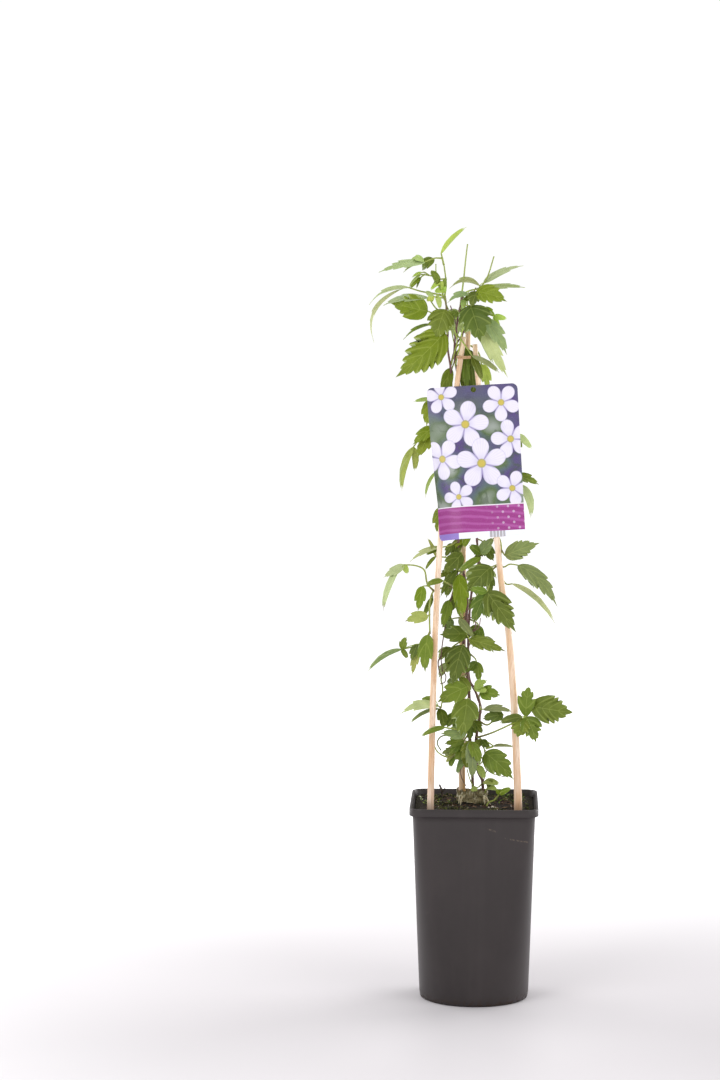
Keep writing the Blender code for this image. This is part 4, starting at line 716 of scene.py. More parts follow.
def makePot():
    base, tall = potLook["baseRadius"], potLook["height"]
    top = tall - potLook["rimDepth"]
    rings = [squareRing(base - inset, base - inset, z) for inset, z in ((4, 0.6), (1.6, 0.0), (0.7, 0.4))]
    for k in range(1, 33):
        share = k / 32
        half, corner = wallAt(share)
        rings.append(squareRing(half, corner, top * share))
    full, corner = potLook["rimHalf"], potLook["rimCorner"]
    lip = potLook["rimLip"]
    for inset, z in ((1.0, top), (0.25, top + 0.3), (0, top + 1), (0.15, tall - 1), (0.5, tall - 0.25), (1.1, tall),
                     (lip - 0.5, tall), (lip, tall - 0.4), (lip + 0.4, tall - 1.6)):
        rings.append(squareRing(full - inset, corner - inset, z))
    for k in range(24, -1, -1):
        half, corner = wallAt(k / 24)
        half, corner = half - potLook["wall"], corner - potLook["wall"]
        rings.append(squareRing(half, corner, max(top * k / 24, potLook["floor"])))
    bm = bmesh.new()
    made = [[bm.verts.new(p * mm) for p in ring] for ring in rings]
    for low, high in zip(made, made[1:]):
        for i in range(len(low)):
            j = (i + 1) % len(low)
            bm.faces.new((low[i], low[j], high[j], high[i]))
    bm.faces.new(made[0][::-1])
    bm.faces.new(made[-1])
    mesh = bpy.data.meshes.new("potShell")
    bm.to_mesh(mesh)
    bm.free()
    shell = addObject("potShell", mesh)
    drills = Heap()
    for k in range(4):
        turn = pi / 4 + pi / 2 * k
        spot = Vector((potLook["drainRing"] * cos(turn), potLook["drainRing"] * sin(turn), 0))
        growTube(drills, [spot + upBy(-4), spot + Vector((0, 0, potLook["floor"] + 4))],
                 lambda share: potLook["drainRadius"], 32)
    drill = addObject("drill", drills.mesh("drill"))
    cut = shell.modifiers.new("drains", "BOOLEAN")
    cut.object = drill
    cut.solver = "EXACT"
    whole = bpy.data.meshes.new_from_object(shell.evaluated_get(bpy.context.evaluated_depsgraph_get()))
    shell.modifiers.clear()
    shell.data = whole
    bpy.data.objects.remove(drill)
    whole.materials.clear()
    whole.materials.append(makePotSkin())
    whole.shade_smooth()
    for polygon in whole.polygons:
        polygon.use_smooth = abs(polygon.normal.z) < 0.6 or polygon.center.z > 0.1
    settle(shell, "pot", "pot")


makePot()
print("pot made")


# compost, moss, bark and seedlings

compostLook = {
    "level": 207.0,
    "clearance": 0.35,
    "lumps": 1.5,                 # height of the crumbs
    "dark": paint(20, 15, 12),
    "brown": paint(64, 49, 36),
    "mossTufts": 1100,
    "barkChips": 260,
    "fibres": 130,
    "seed": 11,
}


def compostHeight(x, y):
    spot = Vector((x, y, 0)) * 0.06
    coarse = noise.fractal(spot, 1.0, 2.1, 4) * 1.1
    fine = noise.fractal(spot * 7, 0.9, 2.1, 3) * 0.45
    edge = max(abs(x), abs(y)) / 64
    rise = max(y - 26, 0) * 0.06
    return compostLook["level"] + rise + (coarse + fine) * compostLook["lumps"] - 2.2 * edge ** 8


def mossAmount(x, y):
    # thick moss at the left and right of the pot, thin in the middle
    patch = noise.fractal(Vector((x, y, 3)) * 0.045, 1.0, 2.0, 3) * 0.9
    return patch + 0.25 * min(abs(x + 4) / 40, 1) - 0.08


def makeCompostSkin():
    skin = Finish("compostCrumb", 0.25)
    crumb = skin.noise(420, 6, 0.7)
    colour = skin.mix(crumb.rise(0.42, 0.72), compostLook["dark"], compostLook["brown"])
    fleck = skin.cells(700).rise(0.22, 0.05) * skin.noise(130, 2).rise(0.5, 0.62)
    colour = skin.mix(fleck * 0.6, colour, paint(130, 108, 84))
    moss = skin.value("moss") * skin.noise(300, 5).rise(0.38, 0.55)
    colour = skin.mix(moss * 0.7, colour, paint(52, 56, 24))
    height = crumb + skin.cells(520) * 0.6
    return skin.feed(colour, 0.86 + crumb * 0.12, (height, 0.9, 0.0012))


def makeCompost():
    heap = Heap("moss")
    half, corner = wallAt(min(compostLook["level"] / (potLook["height"] - potLook["rimDepth"]), 1))
    half -= potLook["wall"] + compostLook["clearance"]
    corner -= potLook["wall"] + compostLook["clearance"]
    rings = []
    for k in range(72):
        share = 1 - k / 72
        ring = []
        for p in squareRing(half * share, corner * share, 0, 60):
            ring.append(heap.add((p.x, p.y, compostHeight(p.x, p.y)), moss=max(mossAmount(p.x, p.y) * 3, 0.0)))
        rings.append(ring)
    heap.bands(rings)
    heap.face(rings[-1])
    walls = []
    for share in (0.97, 0.8, 0.6, 0.4, 0.2, 0.016):
        half, corner = wallAt(share)
        less = potLook["wall"] + compostLook["clearance"]
        level = share * (potLook["height"] - potLook["rimDepth"])
        walls.append([heap.add(p) for p in squareRing(half - less, corner - less, level, 60)])
    for high, low in zip([rings[0], *walls], walls):
        heap.bands((low, high))
    heap.face(walls[-1][::-1])
    heap.piece("compost", "soil", makeCompostSkin(), "soil")


def sprinkle(rng, reach=59.0):
    return rng.uniform(-reach, reach), rng.uniform(-reach, reach)


def makeMoss():
    heap = Heap("tone")
    rng = random.Random(compostLook["seed"])
    made = 0
    while made < compostLook["mossTufts"]:
        x, y = sprinkle(rng)
        if mossAmount(x, y) < rng.uniform(0.08, 0.34):
            continue
        made += 1
        ground = compostHeight(x, y) - 0.3
        tone = rng.random()
        for _ in range(rng.randint(4, 7)):
            turn = rng.uniform(0, 2 * pi)
            tall = rng.uniform(1.0, 2.6)
            out = spoke(turn) * rng.uniform(0.3, 1.3)
            across = Vector((-sin(turn), cos(turn), 0)) * rng.uniform(0.16, 0.3)
            root = Vector((x, y, ground)) + out * 0.3
            bend = root + out * 0.6 + upBy(tall * 0.7)
            tip = root + out * 1.5 + upBy(tall)
            a, b = heap.add(root - across, tone=tone), heap.add(root + across, tone=tone)
            c, d = heap.add(bend - across, tone=tone), heap.add(bend + across, tone=tone)
            heap.face((a, b, d, c))
            heap.face((c, d, heap.add(tip, tone=min(tone + 0.3, 1.3))))
    skin = Finish("mossGreen", 0.3, {"Roughness": 0.7})
    tone = skin.value("tone") + skin.noise(160, 3) * 0.3 - 0.15
    colour = skin.ramp(tone, (0.0, paint(26, 28, 12)), (0.4, paint(48, 54, 20)), (0.8, paint(82, 90, 38)),
                       (1.0, paint(132, 136, 74)))
    heap.piece("moss", "soil", skin.feed(colour))


def makeBark():
    heap = Heap("tone")
    rng = random.Random(compostLook["seed"] + 1)
    for _ in range(compostLook["barkChips"]):
        x, y = sprinkle(rng, 58)
        centre = Vector((x, y, compostHeight(x, y) + 0.1))
        turn = Matrix.Rotation(rng.uniform(0, 6.3), 3, "Z") @ Matrix.Rotation(rng.uniform(-0.5, 0.5), 3, "X")
        long, wide, thick = rng.uniform(1.2, 4.2), rng.uniform(0.7, 1.8), rng.uniform(0.3, 0.8)
        tone = rng.random()
        rings = []
        for level in (-1, 1):
            ring = []
            for i in range(7):
                angle = 2 * pi * i / 7
                reach = rng.uniform(0.75, 1.1)
                spot = Vector((cos(angle) * long * reach, sin(angle) * wide * reach, level * thick / 2))
                ring.append(heap.add(centre + turn @ spot, tone=tone))
            rings.append(ring)
        heap.drum(rings, False, False)
    for _ in range(compostLook["fibres"]):
        x, y = sprinkle(rng, 56)
        angle = rng.uniform(0, 6.3)
        run = []
        for k in range(4):
            px = x + cos(angle) * k * 2.2
            py = y + sin(angle) * k * 2.2
            angle += rng.uniform(-0.4, 0.4)
            run.append(Vector((px, py, compostHeight(px, py) + rng.uniform(0.1, 0.9))))
        tone = rng.uniform(0.5, 1)
        growTube(heap, run, lambda share: 0.22, 4, lambda share: {"tone": tone})
    skin = Finish("barkBits", 0.25)
    grain = skin.noise(900, 5, where=skin.place((1, 1, 3)))
    colour = skin.ramp(skin.value("tone"), (0.0, paint(30, 22, 17)), (0.6, paint(72, 50, 36)),
                       (0.88, paint(120, 88, 62)), (1.0, paint(176, 150, 118)))
    colour = skin.mix(grain.rise(0.45, 0.65) * 0.5, colour, paint(26, 19, 14))
    heap.piece("barkBits", "soil", skin.feed(colour, 0.75 + grain * 0.2, (grain, 0.6, 0.0004)))


def makeCrumbs():
    # pale grains in the compost
    heap = Heap("tone")
    rng = random.Random(compostLook["seed"] + 2)
    spots = [(19.5, -18, 1.9), (22.5, -16, 1.2), (15.5, -21, 1.0)]
    spots += [(*sprinkle(rng, 56), rng.uniform(0.35, 0.8)) for _ in range(34)]
    for x, y, size in spots:
        centre = Vector((x, y, compostHeight(x, y) + size * 0.4))
        rings = []
        for lift, reach in ((-0.8, 0.55), (0, 1.0), (0.75, 0.6)):
            rings.append([heap.add(centre + Vector((cos(i * 0.9) * reach * rng.uniform(0.8, 1.2),
                                                    sin(i * 0.9) * reach * rng.uniform(0.8, 1.2), lift)) * size,
                                   tone=rng.random()) for i in range(7)])
        heap.drum(rings)
    skin = Finish("paleGrains", 0.3)
    grain = skin.noise(1400, 4)
    colour = skin.mix(grain.rise(0.4, 0.65), paint(168, 158, 142), paint(226, 220, 208))
    heap.piece("paleGrains", "soil", skin.feed(colour, 0.8 + grain * 0.1, (grain, 0.5, 0.0003)))


def makeSeedlings():
    # small weeds: across, depth, height, leaf pairs and how pale they are
    heap = Heap("tone")
    rng = random.Random(compostLook["seed"] + 5)
    plants = ((-57, 18, 6, 3, 0.9), (-51, 10, 5, 3, 0.7), (-54, -2, 4, 2, 0.4), (-47, 24, 5, 2, 0.5),
              (51, 30, 8, 3, 0.3), (53, 22, 6, 2, 0.4), (33, 26, 4, 2, 0.2), (36, 34, 5, 2, 0.2),
              (-26, 2, 4, 2, 0.2), (27, 6, 4, 2, 0.3),
              (-38, 8, 4, 2, 0.3), (43, 4, 4, 2, 0.2))
    for x, y, tall, pairs, pale in plants:
        root = Vector((x, y, compostHeight(x, y) - 0.3))
        lean = Vector((rng.uniform(-0.3, 0.3), rng.uniform(-0.3, 0.1), 1)).normalized()
        growTube(heap, [root, root + lean * tall * 0.5, root + lean * tall], lambda share: 0.3 - 0.1 * share, 6,
                 lambda share: {"tone": pale * 0.6})
        for pair in range(pairs):
            turn = rng.uniform(0, pi)
            foot = root + lean * tall * (0.45 + 0.55 * pair / max(pairs - 1, 1))
            for side in (0, pi):
                out = Vector((cos(turn + side), sin(turn + side), rng.uniform(0.1, 0.7))).normalized()
                across = out.cross(upBy(1)).normalized()
                long = rng.uniform(2.6, 4.6)
                rows = []
                for step, half, drop in ((0, 0.15, 0), (0.3, 0.7, 0.1), (0.6, 1.0, 0.2), (0.85, 0.6, 0),
                                         (1.0, 0.08, -0.4)):
                    spot = foot + out * long * step + upBy(drop)
                    rows.append([heap.add(spot + across * half * t + upBy(abs(t) * 0.3), tone=pale + 0.1 * t)
                                 for t in (-1, 0, 1)])
                for low, high in zip(rows, rows[1:]):
                    for j in (0, 1):
                        heap.face((low[j], low[j + 1], high[j + 1], high[j]))
    skin = Finish("seedlingGreen", 0.3)
    cloud = skin.noise(500, 3)
    colour = skin.ramp(skin.value("tone") + cloud * 0.2 - 0.1, (0.0, paint(74, 92, 24)), (0.4, paint(118, 144, 34)),
                       (0.75, paint(168, 184, 110)), (1.0, paint(214, 218, 188)))
    heap.piece("seedlings", "leaf", skin.feed(colour, 0.55 + cloud * 0.2, (cloud, 0.3, 0.0004)))


makeCompost()
makeMoss()
makeBark()
makeCrumbs()
makeSeedlings()
print("compost made")


# canes and their tie

caneLook = {
    "radii": {"cane_left": (3.8, 2.7), "cane_right": (4.6, 2.7), "cane_rear": (4.2, 2.8)},
    "taper": 1.3,
    "clearance": 0.35,
    "pale": paint(247, 226, 206),
    "tan": paint(226, 188, 150),
    "golden": paint(214, 172, 112),
    "line": paint(176, 126, 84),
    "tieHeight": 686.0,
    "tieBand": (3.2, 1.0),
    "tieBrown": paint(178, 138, 104),
}


def makeCaneSkin(name, body):
    skin = Finish(name, 0.4, {"Coat Roughness": 0.3})
    fibre = skin.noise(900, 4, 0.6, skin.place((1, 1, 0.025)))
    wide = skin.noise(170, 3, 0.5, skin.place((1, 1, 0.05)))
    colour = skin.mix(wide.rise(0.35, 0.68), body, caneLook["pale"])
    colour = skin.mix(fibre.rise(0.5, 0.72) * 0.62, colour, caneLook["line"])
    colour = skin.mix((1 - skin.axis("Z").rise(0.21, 0.4)) * 0.22, colour, caneLook["line"])
    worn = skin.noise(34, 5, 0.6, skin.place((1, 1, 0.3))).rise(0.56, 0.72)
    colour = skin.mix(worn * 0.35, colour, caneLook["line"])
    spots = skin.cells(260, where=skin.place((1, 1, 0.3))).rise(0.13, 0.03) * skin.noise(40, 2).rise(0.5, 0.6)
    colour = skin.mix(spots * 0.65, colour, paint(84, 58, 42))
    damp = 1 - skin.axis("Z").rise(0.204, 0.222)
    colour = skin.mix(damp * 0.6, colour, paint(92, 66, 44))
    rough = 0.42 + fibre * 0.2 + damp * 0.2
    return skin.feed(colour, rough, (fibre + wide, 0.35, 0.0004), coat=0.12 - worn * 0.1)


def makeCanes():
    tan = makeCaneSkin("caneTan", caneLook["tan"])
    golden = makeCaneSkin("caneGolden", caneLook["golden"])
    for name, path in canePaths.items():
        heap = Heap()
        run = seenRun(path, 8)
        low, high = caneLook["radii"][name]
        wave = len(name) * 1.7

        def radiusAt(share, low=low, high=high, wave=wave):
            knuckle = sum(exp(-((share - at) * 90) ** 2) for at in (0.31, 0.93))
            return (high + (low - high) * (1 - share) ** caneLook["taper"] + 0.02 * sin(share * 40 + wave)
                    + 0.18 * knuckle)

        growTube(heap, run, radiusAt, 20, flatEnds=True)
        heap.piece(name.replace("_", "") + "Stick", "cane", golden if name == "cane_rear" else tan, name)


def caneAt(name, z):
    run = seenRun(canePaths[name], 8)
    for low, high in zip(run, run[1:]):
        if low.z <= z <= high.z:
            return low.lerp(high, (z - low.z) / (high.z - low.z))
    return run[-1]


def loopRound(circles, each=14):
    # where a band pulled round upright rods touches them, given anticlockwise as (x, y, radius)
    def facing(one, other):
        run = Vector((other[0] - one[0], other[1] - one[1]))
        return atan2(run.y, run.x) - pi / 2 - asin((other[2] - one[2]) / run.length)

    loop = []
    for k, rod in enumerate(circles):
        start = facing(circles[k - 1], rod)
        turn = (facing(rod, circles[(k + 1) % len(circles)]) - start) % (2 * pi)
        for i in range(each):
            angle = start + turn * i / (each - 1)
            loop.append((Vector((rod[0], rod[1], 0)), spoke(angle), rod[2]))
    even = []
    for k, (middle, out, radius) in enumerate(loop):
        following = loop[(k + 1) % len(loop)]
        even.append((middle + out * radius, out))
        gapAfter = (following[0] + following[1] * following[2]) - (middle + out * radius)
        steps = int(gapAfter.length // 1.6)
        for i in range(1, steps + 1):
            even.append((middle + out * radius + gapAfter * i / (steps + 1), out))
    return even


def makeTie():
    rods = []
    for name in ("cane_left", "cane_right", "cane_rear"):
        spot = caneAt(name, caneLook["tieHeight"])
        rods.append((spot.x, spot.y, caneLook["radii"][name][1] + caneLook["clearance"] + 0.3))
    heap = Heap()
    tall, thick = caneLook["tieBand"]
    loop = loopRound(rods)
    rows = []
    for out, lift in ((0, 0.1), (0.35, 0), (thick - 0.2, 0.1), (thick, 0.5), (thick, tall * 0.46),
                      (thick * 0.7, tall * 0.5), (thick, tall * 0.54), (thick, tall - 0.5),
                      (thick - 0.2, tall - 0.1), (0.35, tall), (0, tall - 0.1)):
        rows.append([heap.add(spot + away * out + Vector((0, 0, caneLook["tieHeight"] + lift
                                                          + 0.25 * sin(k * 0.31))))
                     for k, (spot, away) in enumerate(loop)])
    heap.bands(rows + rows[:1])
    skin = Finish("tieBrown", 0.4)
    strand = skin.noise(700, 4, where=skin.place((1, 1, 4)))
    colour = skin.mix(strand.rise(0.4, 0.65), caneLook["tieBrown"], paint(206, 170, 134))
    heap.piece("caneTieLoop", "tie", skin.feed(colour, 0.6 + strand * 0.2, (strand, 0.5, 0.0004)), "cane_tie")


makeCanes()
makeTie()
print("canes made")


# label card, with a made-up blossom picture

cardLook = {
    "size": (96.5, 161.0, 0.8),
    "middle": (0.6, 577.4),
    "turn": 3.3,
    "corner": 6.0,
    "hole": (1.4, 76.0, 2.9),
    "lean": 0.0752,
    "back": (490.0, -22.1),
    "curlFrom": -5.0,
    "curlTop": 0.75,
    "curl": 0.0226,
    "pictureFoot": -46.0,         # millimetres from the card's middle
    "bandFoot": -74.0,
    "petal": paint(232, 227, 242),
    "petalShade": paint(150, 138, 190),
    "heart": paint(206, 184, 74),
    "violet": paint(78, 56, 120),
    "teal": paint(82, 100, 104),
    "green": paint(84, 106, 62),
    "magenta": paint(150, 42, 129),
    "magentaPale": paint(190, 98, 178),
    "strip": paint(238, 242, 253),
    "lilac": paint(140, 116, 196),
}

blossoms = [   # across, up, reach, turn
    (-33, 70, 18, 0.2), (30, 61, 20, 1.0), (-9, 40, 25, 0.55), (38, 22, 21, 0.1), (-36, 5, 22, 0.9),
    (6, -2, 27, 0.3), (37, -30, 19, 0.7), (-20, -36, 17, 0.0),
]


def cardPoint(across, up, depth):
    rise = min(max(cardLook["curlTop"] - up / cardLook["size"][1], 0), 1)
    curve = cardLook["curl"] * rise
    forward = 0.0
    if across < cardLook["curlFrom"] and curve > 0:
        turned = curve * (cardLook["curlFrom"] - across)
        forward = (1 - cos(turned)) / curve - depth * (cos(turned) - 1)
        across = cardLook["curlFrom"] - sin(turned) / curve - depth * sin(turned)
    turn = radians(cardLook["turn"])
    x = cardLook["middle"][0] + across * cos(turn) - up * sin(turn)
    z = cardLook["middle"][1] + across * sin(turn) + up * cos(turn)
    back = cardLook["back"][1] + (z - cardLook["back"][0]) * cardLook["lean"]
    return Vector((x, back - depth - forward, z))


def paintBlossom(skin, colour, x, y, across, up, reach, turn):
    # five round petals; the angle's cosine draws the notches between them
    dx, dy = x - across, y - up
    far = (dx * dx + dy * dy).root()
    angle = skin.node("Math", {"operation": "ARCTAN2"}, {0: dy, 1: dx}) + turn
    lobe = abs((angle * 2.5).wave())
    edge = reach * (0.34 + 0.66 * lobe ** 0.55)
    inside = 1 - (far - edge).rise(-0.3, 0.3)
    crease = (1 - lobe.rise(0.0, 0.5)) * 0.8 + (1 - far.rise(0.0, reach * 0.5)) * 0.35
    ribs = (abs((angle * 22.5).wave()) ** 3) * 0.1 * far.rise(2, 8)
    petal = skin.mix(crease + ribs + skin.noise(46, 3).rise(0.5, 0.8) * 0.2, cardLook["petal"], cardLook["petalShade"])
    petal = skin.mix((far - edge).rise(-1.6, 0.2) * 0.35, petal, cardLook["petalShade"])
    colour = skin.mix(inside, colour, petal)
    ring = 1 - far.rise(reach * 0.15, reach * 0.2)
    colour = skin.mix(ring, colour, paint(164, 160, 92))
    ticks = abs((angle * 7).wave()).rise(0.3, 0.7)
    return skin.mix((1 - far.rise(reach * 0.1, reach * 0.17)) * (0.55 + 0.45 * ticks), colour, cardLook["heart"])


def makePrintSkin():
    skin = Finish("cardPrint", 0.4, {"Coat Roughness": 0.16, "Roughness": 0.36})
    x, y = skin.value("printX"), skin.value("printY")
    plane = skin.node("CombineXYZ", inputs={0: x * 0.01, 1: y * 0.01, 2: 0.37})
    blur = skin.noise(3.4, 1, 0.4, plane)
    colour = skin.ramp(blur, (0.32, cardLook["violet"]), (0.47, cardLook["teal"]), (0.56, cardLook["green"]),
                       (0.7, paint(150, 158, 150)))
    leafy = skin.noise(9, 2, 0.5, plane, 1.2).rise(0.5, 0.68)
    colour = skin.mix(leafy * 0.6, colour, paint(58, 78, 46))
    colour = skin.mix(y.rise(30, 84) * 0.65, colour, cardLook["violet"])
    for spot in blossoms:
        colour = paintBlossom(skin, colour, x, y, *spot)
    sweep = ((x * 0.05 + 2.2) * (x * 0.05 + 2.2) * 0.35 + y * 0.9 + skin.noise(5, 1, 0.5, plane) * 4).wave()
    magenta = skin.mix(sweep.rise(-0.2, 1.0) * 0.45, cardLook["magenta"], cardLook["magentaPale"])
    dots = ((x * 0.55).wave() * (y * 0.55).wave()).rise(0.72, 0.8) * x.rise(4, 30)
    magenta = skin.mix(dots * 0.4, magenta, cardLook["petal"])
    bars = x.rise(10, 10.3) * abs((x * 0.9).wave()).rise(0.1, 0.5) * (1 - x.rise(27, 27.3))
    strip = skin.mix(bars, cardLook["strip"], paint(176, 172, 178))
    strip = skin.mix((1 - x.rise(-22.3, -22)), strip, cardLook["lilac"])
    foot = cardLook["bandFoot"]
    band = skin.mix(1 - y.rise(foot - 0.2, foot + 0.2), magenta, strip)
    top = cardLook["pictureFoot"]
    line = y.rise(top - 1.0, top - 0.7) * (1 - y.rise(top + 0.1, top + 0.4))
    colour = skin.mix(1 - y.rise(top - 0.2, top + 0.2), colour, band)
    colour = skin.mix(line * 0.9, colour, paint(240, 238, 244))
    screen = skin.noise(2600, 2)
    colour = skin.mix(screen.rise(0.45, 0.7) * 0.06, colour, paint(255, 255, 255))
    back = skin.mix(skin.noise(60, 3).rise(0.3, 0.7), paint(222, 220, 221), paint(206, 204, 206))
    colour = skin.mix(skin.value("under"), colour, back)
    return skin.feed(colour, bump=(skin.noise(30, 2) + screen * 0.02, 0.1, 0.0008),
                     coat=0.35 - skin.value("under") * 0.3)


def makeCard():
    width, height, thickness = cardLook["size"]
    columns, rows = 70, 116
    holeX, holeY, holeRadius = cardLook["hole"]
    cornerReach = cardLook["corner"]

    def keep(x, y):
        inX, inY = abs(x) - width / 2 + cornerReach, abs(y) - height / 2 + cornerReach
        if inX > 0 and inY > 0 and hypot(inX, inY) > cornerReach:
            return False
        return hypot(x - holeX, y - holeY) > holeRadius

    def snap(x, y):
        inX, inY = abs(x) - width / 2 + cornerReach, abs(y) - height / 2 + cornerReach
        if inX > 0 and inY > 0:
            share = cornerReach / max(hypot(inX, inY), 1e-6)
            if abs(share - 1) < 0.6:
                return (copysign(width / 2 - cornerReach + inX * share, x),
                        copysign(height / 2 - cornerReach + inY * share, y))
        share = holeRadius / max(hypot(x - holeX, y - holeY), 1e-6)
        return holeX + (x - holeX) * share, holeY + (y - holeY) * share

    cells = [(i, j) for i in range(columns) for j in range(rows)
             if keep(((i + 0.5) / columns - 0.5) * width, ((j + 0.5) / rows - 0.5) * height)]
    kept = set(cells)
    uses = {}
    for i, j in cells:
        for di, dj in ((0, 0), (1, 0), (1, 1), (0, 1)):
            uses.setdefault((i + di, j + dj), []).append((i, j))
    flat = {}
    for (i, j), around in uses.items():
        x, y = (i / columns - 0.5) * width, (j / rows - 0.5) * height
        edge = i in (0, columns) or j in (0, rows)
        near = hypot(x - holeX, y - holeY) < holeRadius * 2
        inCorner = abs(x) > width / 2 - cornerReach and abs(y) > height / 2 - cornerReach
        few = len(around) < 4 and not edge
        if (near and few) or (inCorner and (len(around) < 3 or few)):
            x, y = snap(x, y)
        flat[(i, j)] = (x, y)
    heap = Heap("printX", "printY", "under")
    sheets = []
    for level, under in ((thickness, 0.0), (0.1, 1.0)):
        sheets.append({key: heap.add(cardPoint(x, y, level), printX=x, printY=y, under=under)
                       for key, (x, y) in flat.items()})
    front, back = sheets
    for i, j in cells:
        ring = [(i, j), (i + 1, j), (i + 1, j + 1), (i, j + 1)]
        heap.face([front[key] for key in ring])
        heap.face([back[key] for key in ring[::-1]])
        for a, b, beyond in ((ring[0], ring[1], (i, j - 1)), (ring[1], ring[2], (i + 1, j)),
                             (ring[2], ring[3], (i, j + 1)), (ring[3], ring[0], (i - 1, j))):
            if beyond not in kept:
                corners = []
                for key, level in ((b, thickness), (a, thickness), (a, 0.1), (b, 0.1)):
                    x, y = flat[key]
                    corners.append(heap.add(cardPoint(x, y, level), printX=x, printY=y, under=1.0))
                heap.face(corners, False)
    heap.piece("labelCard", "card", makePrintSkin(), "card")


makeCard()
print("label made")


# tape round the stems at the soil, and the dead twig

bandLook = {
    "height": 15.0,
    "thickness": 0.5,
    "stems": (4.0, 14.5, 8.6),    # middle and radius of the loop round the stems
    "lift": 1.05,                 # from the compost to the tape
    "layers": 20,
    "olive": paint(118, 108, 74),
    "straw": paint(158, 146, 106),
    "clear": 0.74,
    "seed": 4,
}


def makeBand():
    cane = caneAt("cane_rear", compostLook["level"])
    rear = caneLook["radii"]["cane_rear"][0] + caneLook["clearance"]
    loop = loopRound([bandLook["stems"], (cane.x, cane.y, rear)], 26)
    heap = Heap()
    base = compostLook["level"] + bandLook["lift"]
    count = bandLook["layers"]
    rows = []
    for out in (0.0, bandLook["thickness"]):
        for k in range(count + 1):
            share = k / count
            row = []
            for spot, away in loop:
                place = Vector((spot.x, spot.y, share * bandLook["height"]))
                crease = abs(noise.noise(place * 0.3)) + 0.6 * abs(noise.noise(place * 0.75))
                crush = 0.9 * abs(noise.noise(place * 0.16 + upBy(7)))
                ragged = noise.noise(Vector((spot.x * 0.35, spot.y * 0.35, 5.1))) + 0.6 * noise.noise(spot * 1.3)
                lift = share * (bandLook["height"] - 2.2) + ragged * (2.6 * share ** 3 - 1.2 * (1 - share) ** 4)
                row.append(heap.add(spot + away * (out + caneLook["clearance"] + 0.9 * crease + crush * (1 + share))
                                    + Vector((0, 0, base + max(lift, -0.5)))))
            rows.append(row)
    inner, outer = rows[:count + 1], rows[count + 1:]
    heap.bands(outer)
    for rings in (inner, (inner[0], outer[0]), (outer[-1], inner[-1])):
        heap.bands(rings, flip=True)
    skin = Finish("tapeOlive", 0.5, {"Coat Roughness": 0.15})
    cloud = skin.noise(190, 5, 0.6, twist=0.8)
    wrinkle = skin.noise(330, 3, 0.5, skin.place((1, 1, 0.5)), 1.2)
    colour = skin.mix(cloud.rise(0.35, 0.65), bandLook["olive"], bandLook["straw"])
    colour = skin.mix(skin.noise(420, 4).rise(0.56, 0.66) * 0.5, colour, paint(70, 58, 42))
    colour = skin.mix(wrinkle.rise(0.55, 0.66) * 0.7, colour, paint(206, 200, 168))
    see = (bandLook["clear"] + cloud * 0.4 - 0.18 + wrinkle.rise(0.5, 0.62) * 0.3).lowest(1.0)
    heap.piece("baseTape", "band", skin.feed(colour, 0.26 + cloud * 0.3, (cloud + wrinkle, 0.5, 0.001), alpha=see),
               "base_band")


def makeFrays():
    # dry strips and strands hanging from the tape's lower corners
    rng = random.Random(bandLook["seed"])
    heap = Heap("tone")
    for corner, spreadOut, count in ((Vector((-13.5, 8, 0)), -0.5, 7), (Vector((11, 5, 0)), 1.0, 15)):
        for _ in range(count):
            turn = -pi / 2 + spreadOut * rng.uniform(0.1, 1.3)
            away = spoke(turn)
            start = corner + Vector((rng.uniform(-2, 2), rng.uniform(-1.2, 0.5),
                                     compostLook["level"] + rng.uniform(5, 10)))
            reach = rng.uniform(3, 9)
            run = [start]
            for step in (0.4, 0.75, 1.0):
                spot = start + away * reach * step
                ground = compostHeight(spot.x, spot.y) + 0.6
                spot.z = max(ground, start.z - (start.z - ground) * step ** 1.6 + rng.uniform(-0.4, 0.4))
                run.append(spot)
            tone = rng.random()
            thick = rng.uniform(0.3, 0.62)
            growTube(heap, smoothRun(run, 5), lambda share: thick * (1 - 0.6 * share), 6, lambda share: {"tone": tone})
    skin = Finish("dryFray", 0.3)
    grain = skin.noise(700, 4)
    colour = skin.ramp(skin.value("tone"), (0.0, paint(126, 104, 70)), (0.5, paint(188, 172, 134)),
                       (1.0, paint(224, 216, 188)))
    colour = skin.mix(grain.rise(0.5, 0.7) * 0.4, colour, paint(110, 90, 60))
    heap.piece("tapeFrays", "band", skin.feed(colour, 0.6 + grain * 0.3, (grain, 0.5, 0.0004)))


def makeTwig():
    heap = Heap()
    run = seenRun(((-33, 46, 185), (-33.5, 46, 206), (-35, 45, 222), (-37.5, 44, 229)), 7)
    growTube(heap, run, lambda share: 1.5 - 0.6 * share + 0.12 * sin(share * 50), 10, flatEnds=True)
    fork = run[-9]
    growTube(heap, smoothRun([fork, fork + Vector((2.4, -0.5, 3.0)), fork + Vector((3.2, -1.2, 6.5))], 4),
             lambda share: 0.7 - 0.4 * share, 7)
    skin = Finish("deadBark", 0.25)
    ridge = skin.noise(700, 5, where=skin.place((1, 1, 0.2)))
    colour = skin.mix(ridge.rise(0.42, 0.65), paint(38, 30, 26), paint(96, 82, 70))
    heap.piece("deadTwigStub", "twig", skin.feed(colour, 0.75 + ridge * 0.2, (ridge, 0.7, 0.0005)), "dead_twig")


makeBand()
makeFrays()
makeTwig()
print("tape and twig made")


# vines: stems, stalks and leaves

